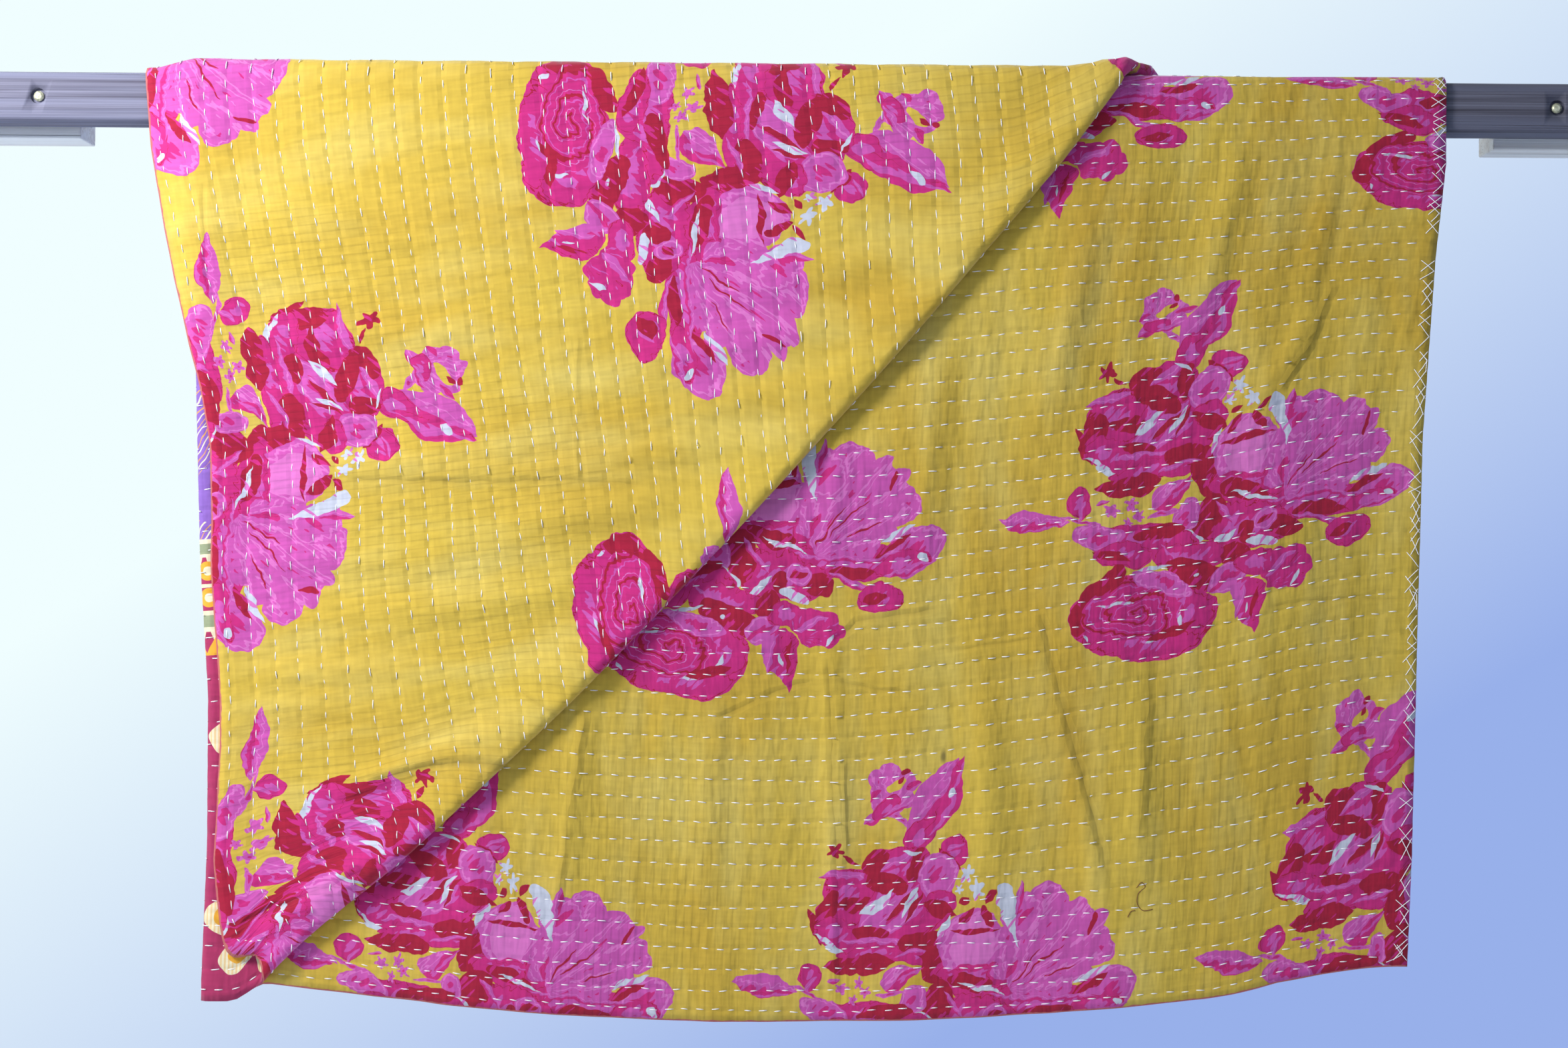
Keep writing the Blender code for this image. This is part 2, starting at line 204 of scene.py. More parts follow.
cloth = {
    "halfLength": 1.075,
    "width": 1.400,
    "thickness": 0.0024,
    "rows": 77,
    "groove": 0.0004,
    "pitch": 0.0040,
    "frontDrop": 0.7926,
    "topClear": 0.0004,
    "edgeClear": 0.0020,
    "railEdge": 0.006,
    "bookRadius": 0.0045,
    "bookTaut": 0.0022,  # the book fold's radius where the rail presses it
    "bookTaper": 0.045,
    "turnRadius": 0.0058,
    "turnTaper": 0.050,
    "turnStart": 0.040,
    "turnAngle": math.radians(48.1),
    "turnBulge": 0.068,
    "bulgeSpan": 0.98,
    "bulgeReach": 0.15,
    "slide": 0.055,
    "widened": 0.120,
    "overhang": 0.045,
    "columns": 260,
    "linesPerRow": 2,
    # height, left edge, right edge
    "edges": (
        (0.00, -0.5026, 0.5430),
        (0.12, -0.4985, 0.5480),
        (0.25, -0.4985, 0.5510),
        (0.37, -0.5066, 0.5530),
        (0.48, -0.5100, 0.5545),
        (0.56, -0.5120, 0.5595),
        (0.64, -0.5140, 0.5650),
        (0.72, -0.5150, 0.5740),
        (0.88, -0.5150, 0.5740),
        (1.40, -0.5080, 0.5640),
    ),
    # height, how far the turned corner's edge is drawn towards the book fold
    "pulls": (
        (0.00, -0.018),
        (0.09, -0.028),
        (0.17, -0.031),
        (0.27, -0.016),
        (0.35, -0.009),
        (0.46, -0.003),
        (0.52, -0.003),
        (0.61, -0.009),
        (0.70, -0.008),
        (0.78, -0.011),
        (0.88, -0.008),
        (1.00, 0.000),
    ),
    # column, how far the stack stands out at the front hem and at the back hem
    "swells": (
        (0.000, 0.000, 0.004),
        (0.310, 0.012, 0.002),
        (0.548, 0.003, 0.009),
        (0.780, 0.014, 0.003),
        (1.075, 0.004, 0.008),
    ),
    # where on the sheet, half its length and width: a stain
    "stain": (0.6530, 0.2225, 0.0034, 0.0078),
    # face, one end, the other end, half width, rise
    "creases": (
        ("rear", (0.562, 0.500), (0.550, 0.346), 0.012, 0.0050),
        ("rear", (0.550, 0.346), (0.562, 0.005), 0.013, 0.0060),
        ("rear", (0.335, 0.264), (0.311, 0.050), 0.016, 0.0050),
        ("rear", (0.749, 0.260), (0.806, 0.047), 0.013, 0.0052),
        ("rear", (0.829, 0.260), (0.832, 0.090), 0.017, 0.0042),
        ("rear", (0.566, 0.306), (0.612, 0.326), 0.009, 0.0040),
        ("rear", (0.612, 0.326), (0.672, 0.332), 0.008, 0.0030),
        ("rear", (0.600, 0.283), (0.775, 0.296), 0.010, 0.0030),
        ("rear", (0.979, 0.600), (0.925, 0.500), 0.011, 0.0052),
        ("rear", (0.985, 0.760), (0.960, 0.560), 0.014, 0.0040),
        ("rear", (0.900, 0.740), (0.870, 0.560), 0.018, 0.0044),
        ("rear", (0.780, 0.690), (0.740, 0.480), 0.022, 0.0046),
        ("rear", (0.450, 0.300), (0.440, 0.060), 0.022, 0.0040),
        ("rear", (0.690, 0.260), (0.700, 0.080), 0.020, 0.0042),
        ("rear", (0.860, 0.480), (0.880, 0.270), 0.020, 0.0036),
        ("rear", (0.650, 0.560), (0.640, 0.380), 0.020, 0.0036),
        ("rear", (0.930, 0.420), (0.940, 0.140), 0.022, 0.0034),
        ("rear", (0.380, 0.340), (0.640, 0.350), 0.008, 0.0024),
        ("rear", (0.860, 0.320), (1.040, 0.330), 0.008, 0.0024),
        ("rear", (0.240, 0.200), (0.235, 0.030), 0.018, 0.0034),
        ("turned", (0.080, 0.447), (0.410, 0.444), 0.010, 0.0040),
        ("turned", (0.300, 0.452), (0.520, 0.478), 0.011, 0.0056),
        ("turned", (0.420, 0.500), (0.590, 0.530), 0.017, 0.0056),
        ("turned", (0.380, 0.540), (0.630, 0.590), 0.020, 0.0052),
        ("turned", (0.450, 0.600), (0.675, 0.650), 0.022, 0.0050),
        ("turned", (0.260, 0.400), (0.430, 0.420), 0.016, 0.0050),
        ("turned", (0.020, 0.267), (0.210, 0.275), 0.012, 0.0040),
        ("turned", (0.020, 0.240), (0.120, 0.246), 0.009, 0.0034),
        ("turned", (0.150, 0.322), (0.350, 0.345), 0.016, 0.0042),
        ("turned", (0.090, 0.158), (0.275, 0.230), 0.014, 0.0074),
        ("turned", (0.026, 0.030), (0.175, 0.125), 0.014, 0.0080),
        ("turned", (0.020, 0.560), (0.250, 0.566), 0.014, 0.0030),
        ("turned", (0.050, 0.640), (0.330, 0.650), 0.014, 0.0028),
        ("turned", (0.030, 0.370), (0.220, 0.362), 0.014, 0.0034),
        ("turned", (0.250, 0.690), (0.560, 0.720), 0.016, 0.0030),
    ),
}
# sharp lines pressed into the printed face, raised or sunk in the bump and darkened along them as painted
# shade: half width, height, places along the sheet
pressed = (
    (0.0040, -0.9, ((-0.5484, 0.1125), (-0.5362, 0.2008), (-0.5290, 0.2750), (-0.5196, 0.3424))),
    (0.0035, 0.5, ((-0.6509, 0.3095), (-0.5262, 0.2948))),
    (0.0060, -1.7, ((-0.1788, 0.0137), (-0.1490, 0.0300), (-0.1574, 0.0626), (-0.1775, 0.0888))),
    (0.0060, -1.7, ((-0.2806, 0.1100), (-0.2808, 0.1643), (-0.2787, 0.2293))),
    (0.0040, -0.8, ((-0.3448, 0.2269), (-0.3162, 0.2688))),
    (0.0030, -0.7, ((-0.8107, 0.0364), (-0.7273, 0.0250))),
    (0.0060, 1.3, ((0.3322, 0.2628), (0.3179, 0.1673), (0.3100, 0.0900))),
    (0.0050, -1.2, ((0.5492, 0.3113), (0.5553, 0.1927), (0.5635, 0.0898), (0.5698, 0.0160))),
    (0.0040, -1.0, ((0.4516, 0.2639), (0.4857, 0.2795), (0.5311, 0.2942))),
    (0.0050, -1.1, ((0.5554, 0.3285), (0.5768, 0.3423), (0.6453, 0.3479))),
    (0.0050, -1.0, ((0.7399, 0.3308), (0.7581, 0.2528), (0.8015, 0.1136))),
    (0.0070, 1.1, ((0.8349, 0.2765), (0.8290, 0.1387))),
    (0.0030, -0.8, ((0.5602, 0.2935), (0.6288, 0.2763))),
    (0.0030, -0.7, ((0.6451, 0.3122), (0.7294, 0.3122))),
    (0.0030, -0.7, ((0.9395, 0.3065), (1.0672, 0.2939))),
    (0.0060, 1.2, ((0.9883, 0.5893), (0.9720, 0.5341), (0.9472, 0.4951))),
    (0.0030, 0.8, ((0.5640, 0.2240), (0.5667, 0.1490))),
)
rowPitch = cloth["width"] / cloth["rows"]
layerBase = cloth["topClear"] + cloth["thickness"] / 2
bend = cloth["railEdge"] + cloth["edgeClear"] - cloth["topClear"]
bendLength = math.pi / 2 * (bend + layerBase + cloth["pitch"])
flatTop = railSize.y - 2 * cloth["railEdge"]
frontBend = cloth["frontDrop"] - cloth["railEdge"]
backBend = frontBend + bendLength + flatTop
backDrop = backBend + bendLength
turnSine, turnCosine = math.sin(cloth["turnAngle"]), math.cos(cloth["turnAngle"])


def turned(past, radius, rise, taper):
    # reach and lift of cloth this far past a fold line
    if past <= 0:
        return past, 0.0
    if past < math.pi * radius:
        angle = past / radius
        return radius * math.sin(angle), radius * (1 - math.cos(angle))
    back = past - math.pi * radius
    return -back, rise + (2 * radius - rise) * hump(back / taper)


def tautAt(height):
    return ease(0.06, 0.0, frontBend - height) * ease(0.06, 0.0, height - backDrop)


def bookRadius(height):
    return cloth["bookRadius"] + (cloth["bookTaut"] - cloth["bookRadius"]) * tautAt(height)


def lineAt(height):
    # where the turned corner's fold lies at this height
    bulge = cloth["turnBulge"] * math.sin(math.pi * clamp(height / cloth["bulgeSpan"]))
    return cloth["turnStart"] + height * turnCosine / turnSine + bulge * ease(0, 0.12, height)


def drop(face, across, height):
    # how far the cloth slips down its own rows, so that the fold bulges
    straight = (across - cloth["turnStart"]) * turnSine / turnCosine
    low, high = straight - 0.16, straight
    for _ in range(12):
        middle = (low + high) / 2
        if lineAt(middle) < across:
            low = middle
        else:
            high = middle
    away = ease(0, cloth["bulgeReach"], height - straight)
    slid = cloth["slide"] * (1 - ease(0.90, 1.08, height)) if face == "turned" else 0
    return (straight - low) * (1 - away) + slid * away


def slipped(u, v):
    # the front layer lies pulled a little wider than the rear one
    loose = ease(0, 0.20, -u) * (1 - ease(0.70, 1.30, v))
    return u, v * (1 + cloth["widened"] * loose)


def edgeDrift(across, height):
    line = cloth["turnStart"] + height * turnCosine / turnSine
    near = 1 - ease(0.2 * line, 0.9 * line, across)
    pull = between(cloth["pulls"], height, 1) * near
    belly = 0.016 * math.exp(-(((height - 0.56) / 0.12) ** 2)) * (1 - ease(0, 0.35, across))
    swing = 0.060 * ease(backBend, 1.04, height) * (1 - ease(0.05, 0.45, across))
    return belly + swing + pull


def sag(across, height):
    middle = -0.031 * math.cos(math.pi / 2 * min(abs(across - 0.5) / 0.46, 1))
    right = 0.022 * ease(0.89, 1.07, across)
    lean = 0.026 * ease(0.50, 1.00, across) * ease(0.02, 0.25, height) * (1 - ease(0.50, 0.80, height))
    return (middle + right) * (1 - 0.8 * ease(0.2, 0.8, height)) + lean


def folded(u, v):
    # face, across, height and lift of a point of the flat sheet
    if u > 0:
        return "rear", u, v + sag(u, v), 0.0
    radius = bookRadius(v)
    reach, lift = turned(-u, radius, cloth["pitch"], cloth["bookTaper"])
    across = -reach
    if -u < math.pi * radius:
        return "book", across, v, lift
    past = (across - cloth["turnStart"]) * turnSine - v * turnCosine
    along = (across - cloth["turnStart"]) * turnCosine + v * turnSine
    reach, rise = turned(past, cloth["turnRadius"], cloth["pitch"], cloth["turnTaper"])
    across = cloth["turnStart"] + along * turnCosine + reach * turnSine
    height = along * turnSine - reach * turnCosine
    face = "front" if past <= 0 else "turned"
    if face == "turned":
        across += edgeDrift(across, height)
    height -= drop(face, across, height)
    radius = bookRadius(height)
    puff = (2 * radius - cloth["pitch"]) * hump(max(across, 0) / cloth["bookTaper"])
    lift = cloth["pitch"] + puff + rise
    if across < -radius:
        lift *= 1 - ease(radius, cloth["overhang"], -across)
    return face, across, height, lift


def crease(face, across, height):
    rise = 0.0
    for on, start, end, half, high in cloth["creases"]:
        if on != face:
            continue
        runX, runY = end[0] - start[0], end[1] - start[1]
        fromX, fromY = across - start[0], height - start[1]
        share = clamp((fromX * runX + fromY * runY) / (runX * runX + runY * runY))
        off = math.hypot(fromX - share * runX, fromY - share * runY)
        if off < half:
            rise += high * hump(off / half) * math.sin(math.pi * share) ** 0.6
    return rise


def rumple(face, u, v, across, height):
    # soft ripples that run with the sheet's width, outwards only where a layer lies beneath
    if face == "rear":
        loose = ease(0.02, 0.08, across - lineAt(height)) if height < backDrop else 0.0
    else:
        loose = 1.0 if face == "turned" else 0.3
    fine = noise.noise(Vector((u / 0.017, v / 0.12, 3.1)))
    middling = noise.noise(Vector((u / 0.034, v / 0.20, 5.3)))
    broad = noise.noise(Vector((u / 0.085, v / 0.32, 7.7)))
    high = 0.0011 * fine + 0.0026 * middling + 0.0046 * broad
    return loose * (max(high, -0.0012) if face == "turned" else high)


def crumple(face, across, height):
    if face != "turned":
        return 0.0
    loose = ease(backDrop + 0.02, 1.02, height) * (1 - ease(-0.02, 0.10, across))
    return 0.007 * loose * (1 + math.sin(across / 0.007))


def hung(u, v):
    # where a point of the flat sheet's middle hangs
    return laid(*slipped(u, v), u, v)


def laid(slipU, slipV, u, v):
    face, across, height, lift = folded(slipU, slipV)
    height -= 0.016 * (1 - ease(0.020, 0.055, across)) * math.exp(-((height / 0.15) ** 2))
    left, right = between(cloth["edges"], height, 1), between(cloth["edges"], height, 2)
    x = left + cloth["bookRadius"] + across * (right - left - cloth["bookRadius"]) / cloth["halfLength"]
    taut = tautAt(height)
    out = layerBase + lift + crease(face, across, height) + crumple(face, across, height)
    out += (1 - taut) * rumple(face, u, v, across, height)
    out += cloth["groove"] * (1 - 0.7 * taut) * math.cos(2 * math.pi * v / rowPitch)
    top = railHigh.z - cloth["railEdge"]
    front, back = railMiddle.y - flatTop / 2, railMiddle.y + flatTop / 2
    if height < frontBend:
        out += between(cloth["swells"], across, 1) * (frontBend - height) / frontBend
        y, z = front - bend - out, top - (frontBend - height)
    elif height < frontBend + bendLength:
        angle = math.pi / 2 * (height - frontBend) / bendLength
        y, z = front - (bend + out) * math.cos(angle), top + (bend + out) * math.sin(angle)
    elif height < backBend:
        share = (height - frontBend - bendLength) / flatTop
        dip = (cloth["edgeClear"] - cloth["topClear"]) * (1 - abs(2 * share - 1))
        y, z = front + share * flatTop, top + bend + out - dip
    elif height < backDrop:
        angle = math.pi / 2 * (height - backBend) / bendLength
        y, z = back + (bend + out) * math.sin(angle), top + (bend + out) * math.cos(angle)
    else:
        out += between(cloth["swells"], across, 2) * (height - backDrop) / (cloth["width"] - backDrop)
        y, z = back + bend + out, top - (height - backDrop)
    return Vector((railMiddle.x + x, y, z))


def cut(sheet, point, normal, wanted):
    faces = [f for f in sheet.faces if wanted(f.calc_center_median())]
    around = {e for f in faces for e in f.edges} | {v for f in faces for v in f.verts}
    bmesh.ops.bisect_plane(
        sheet, geom=faces + list(around), dist=2e-4, plane_co=(*point, 0), plane_no=(*normal, 0)
    )


def pastTurn(middle, bookTurn):
    return (-middle.x - bookTurn - cloth["turnStart"]) * turnSine - middle.y * turnCosine


def flatSheet():
    bookTurn, cornerTurn = math.pi * cloth["bookRadius"], math.pi * cloth["turnRadius"]
    sheet = bmesh.new()
    lines = cloth["linesPerRow"] * cloth["rows"]
    bmesh.ops.create_grid(sheet, x_segments=cloth["columns"], y_segments=lines, size=0.5)
    bmesh.ops.scale(sheet, vec=(2 * cloth["halfLength"], cloth["width"], 1), verts=sheet.verts)
    bmesh.ops.translate(sheet, vec=(0, cloth["width"] / 2, 0), verts=sheet.verts)
    place = sheet.loops.layers.uv.new("sheet")
    for face in sheet.faces:
        face.smooth = True
        for loop in face.loops:
            loop[place].uv = loop.vert.co.x, loop.vert.co.y
    for vertex in sheet.verts:
        vertex.co.x, vertex.co.y = slipped(vertex.co.x, vertex.co.y)
    for quarter in range(4):
        near = 0.02 + bookTurn
        cut(sheet, (-quarter / 3 * bookTurn, 0), (1, 0), lambda middle: abs(middle.x) < near)
    for quarter in range(5):
        past = quarter / 4 * cornerTurn
        start = -(cloth["turnStart"] + past / turnSine + bookTurn)
        cut(
            sheet,
            (start, 0),
            (-turnSine, -turnCosine),
            lambda middle: middle.x < -bookTurn and abs(pastTurn(middle, bookTurn)) < 0.04,
        )
    return sheet, place


def addPiece(name, mesh, materials):
    for material in materials:
        mesh.materials.append(material)
    obj = bpy.data.objects.new(name, mesh)
    bpy.context.scene.collection.objects.link(obj)
    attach(obj, "root")
    return obj


def makeCloth(faceA, faceB):
    sheet, place = flatSheet()
    for vertex in sheet.verts:
        flat = vertex.link_loops[0][place].uv
        vertex.co = laid(vertex.co.x, vertex.co.y, flat.x, flat.y)
    mesh = bpy.data.meshes.new("quilt_cloth")
    sheet.to_mesh(mesh)
    sheet.free()
    obj = addPiece("quilt_cloth", mesh, (faceA, faceB))
    solid = obj.modifiers.new("thickness", "SOLIDIFY")
    solid.thickness = cloth["thickness"]
    solid.offset = 0
    solid.material_offset = 1
    solid.material_offset_rim = 1
    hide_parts("quilt")
    return obj


# ---- the stitches

thread = {
    "length": 0.0068,
    "pitch": 0.0140,
    "radius": 0.00046,
    "lengthJitter": 0.0010,
    "placeJitter": 0.0012,
    "rowJitter": 0.0007,
    "lift": 0.00030,
    "hem": 0.006,
}


def rowPhase(row):
    return (row * 0.37) % 1


class Strands:
    # many short threads joined in one mesh, each a run of four-sided rings
    def __init__(self):
        self.points = []
        self.faces = []

    def add(self, path, radii, up):
        first = len(self.points)
        for i, (point, radius) in enumerate(zip(path, radii)):
            along = (path[min(i + 1, len(path) - 1)] - path[max(i - 1, 0)]).normalized()
            side = along.cross(up).normalized()
            rise = side.cross(along)
            for turn in range(4):
                angle = math.pi / 2 * turn
                self.points.append(point + radius * (math.cos(angle) * side + math.sin(angle) * rise))
        for i in range(len(path) - 1):
            for turn in range(4):
                a, b = first + 4 * i + turn, first + 4 * i + (turn + 1) % 4
                self.faces.append((a, b, b + 4, a + 4))
        last = len(self.points) - 4
        self.faces.append((first + 3, first + 2, first + 1, first))
        self.faces.append((last, last + 1, last + 2, last + 3))

    def piece(self, name, material):
        mesh = bpy.data.meshes.new(name)
        mesh.from_pydata(self.points, [], self.faces)
        mesh.shade_smooth()
        return addPiece(name, mesh, (material,))


def surfaceFrame(u, v):
    # the sheet's place and its face A normal at a point
    step = 0.0015
    u = min(max(u, step - cloth["halfLength"]), cloth["halfLength"] - step)
    v = min(max(v, step), cloth["width"] - step)
    here = hung(u, v)
    across = hung(u + step, v) - hung(u - step, v)
    upward = hung(u, v + step) - hung(u, v - step)
    return here, across.cross(upward).normalized(), across / (2 * step), upward / (2 * step)


def makeRunningStitches(material):
    draw = random.Random(11)
    pieces = {"a_rear": Strands(), "a_front": Strands(), "b_rear": Strands(), "b_front": Strands()}
    reach = cloth["halfLength"] - thread["hem"]
    for row in range(cloth["rows"]):
        v = (row + 0.5) * rowPitch
        wander = draw.uniform(0, 10)
        u = -reach + rowPhase(row) * thread["pitch"]
        while u < reach - thread["pitch"]:
            for face, side, shift in (("a", 1, 0.0), ("b", -1, 0.5)):
                drift = 0.0030 * noise.noise(Vector((u / 0.10, row * 1.7, wander)))
                middle = u + shift * thread["pitch"] + draw.uniform(-1, 1) * thread["placeJitter"]
                height = v + drift + draw.uniform(-1, 1) * thread["rowJitter"]
                half = thread["length"] / 2 + draw.uniform(-1, 1) * thread["lengthJitter"] / 2
                slant = draw.uniform(-0.0004, 0.0004)
                here, up, alongU, alongV = surfaceFrame(middle, height)
                up = up * side
                base = cloth["thickness"] / 2
                path = []
                for share, lift in ((-1.0, -0.0001), (0.0, thread["lift"]), (1.0, -0.0001)):
                    path.append(here + share * (half * alongU + slant * alongV) + (base + lift) * up)
                radii = [thread["radius"] * s for s in (0.75, 1.0, 0.75)]
                pieces[f"{face}_rear" if u > 0 else f"{face}_front"].add(path, radii, up)
            u += thread["pitch"]
    return [strands.piece("stitches_" + name, material) for name, strands in pieces.items()]


def makeEdgeStitches(material):
    # crossed threads over both short ends
    draw = random.Random(23)
    strands = Strands()
    for end in (-1, 1):
        v = 0.006
        while v < cloth["width"] - 0.012:
            pitch = draw.uniform(0.0080, 0.0145)
            for side in (1, -1):
                deep = draw.uniform(0.008, 0.0135)
                low, high = draw.uniform(-0.0015, 0.0015), pitch * draw.uniform(0.85, 1.5)
                for inner, outer in ((low, high), (high, low)):
                    if draw.random() < 0.22:
                        continue
                    path = []
                    for share in (0, 0.12, 0.5, 0.88, 1.0):
                        u = end * (cloth["halfLength"] - deep * (1 - share))
                        here, up, _, _ = surfaceFrame(u, v + inner + (outer - inner) * share)
                        lift = cloth["thickness"] / 2 + (0.0003 if 0 < share < 1 else -0.0004)
                        rim = end * 0.0016 * (share == 1.0)
                        path.append(here + side * lift * up + Vector((abs(rim), 0, 0)))
                    strands.add(path, [0.00025, 0.00034, 0.00034, 0.00034, 0.00025], up * side)
            v += pitch
    return strands.piece("edge_stitches", material)


loose = {
    "brown": (
        (
            (0.8280, 0.0980), (0.8321, 0.1021), (0.8358, 0.0978), (0.8298, 0.0931),
            (0.8293, 0.0858), (0.8350, 0.0793), (0.8435, 0.0796),
        ),
        ((0.8214, 0.0755), (0.8239, 0.0797), (0.8279, 0.0800)),
    ),
    "white": (
        ((1.0700, 0.3010), (1.0760, 0.2960), (1.0730, 0.2890), (1.0790, 0.2850)),
        ((1.0650, 0.0190), (1.0700, 0.0120), (1.0640, 0.0070), (1.0560, 0.0040)),
        ((1.0720, 0.5120), (1.0780, 0.5060), (1.0740, 0.4990)),
    ),
}


def smooth(a, b, c, d, t):
    # a curve from b to c
    first = c - a
    second = 2 * a - 5 * b + 4 * c - d
    third = 3 * b - a - 3 * c + d
    return 0.5 * (2 * b + first * t + second * t**2 + third * t**3)


def makeLooseThreads(materials):
    # stray ends that lie on the rear layer
    pieces = []
    for name, material in materials.items():
        strands = Strands()
        for run in loose[name]:
            path = []
            for i in range(6 * (len(run) - 1) + 1):
                at = min(i // 6, len(run) - 2)
                before, after = run[max(at - 1, 0)], run[min(at + 2, len(run) - 1)]
                u, v = (
                    smooth(*four, i / 6 - at)
                    for four in zip(before, run[at], run[at + 1], after)
                )
                here, up, _, _ = surfaceFrame(u, v)
                path.append(here + (cloth["thickness"] / 2 + 0.0004) * up)
            strands.add(path, [0.00030] * len(path), up)
        pieces.append(strands.piece("loose_threads_" + name, material))
    return pieces


# ---- the printed face


def inks():
    return {
        "yellow": paint(185, 157, 62),
        "deepYellow": paint(175, 142, 50),
        "paleYellow": paint(191, 170, 90),
        "magenta": paint(174, 36, 108),
        "pink": paint(176, 74, 150),
        "palePink": paint(190, 100, 168),
        "crimson": paint(146, 22, 50),
        "white": paint(176, 178, 194),
        "stain": paint(72, 66, 46),
    }


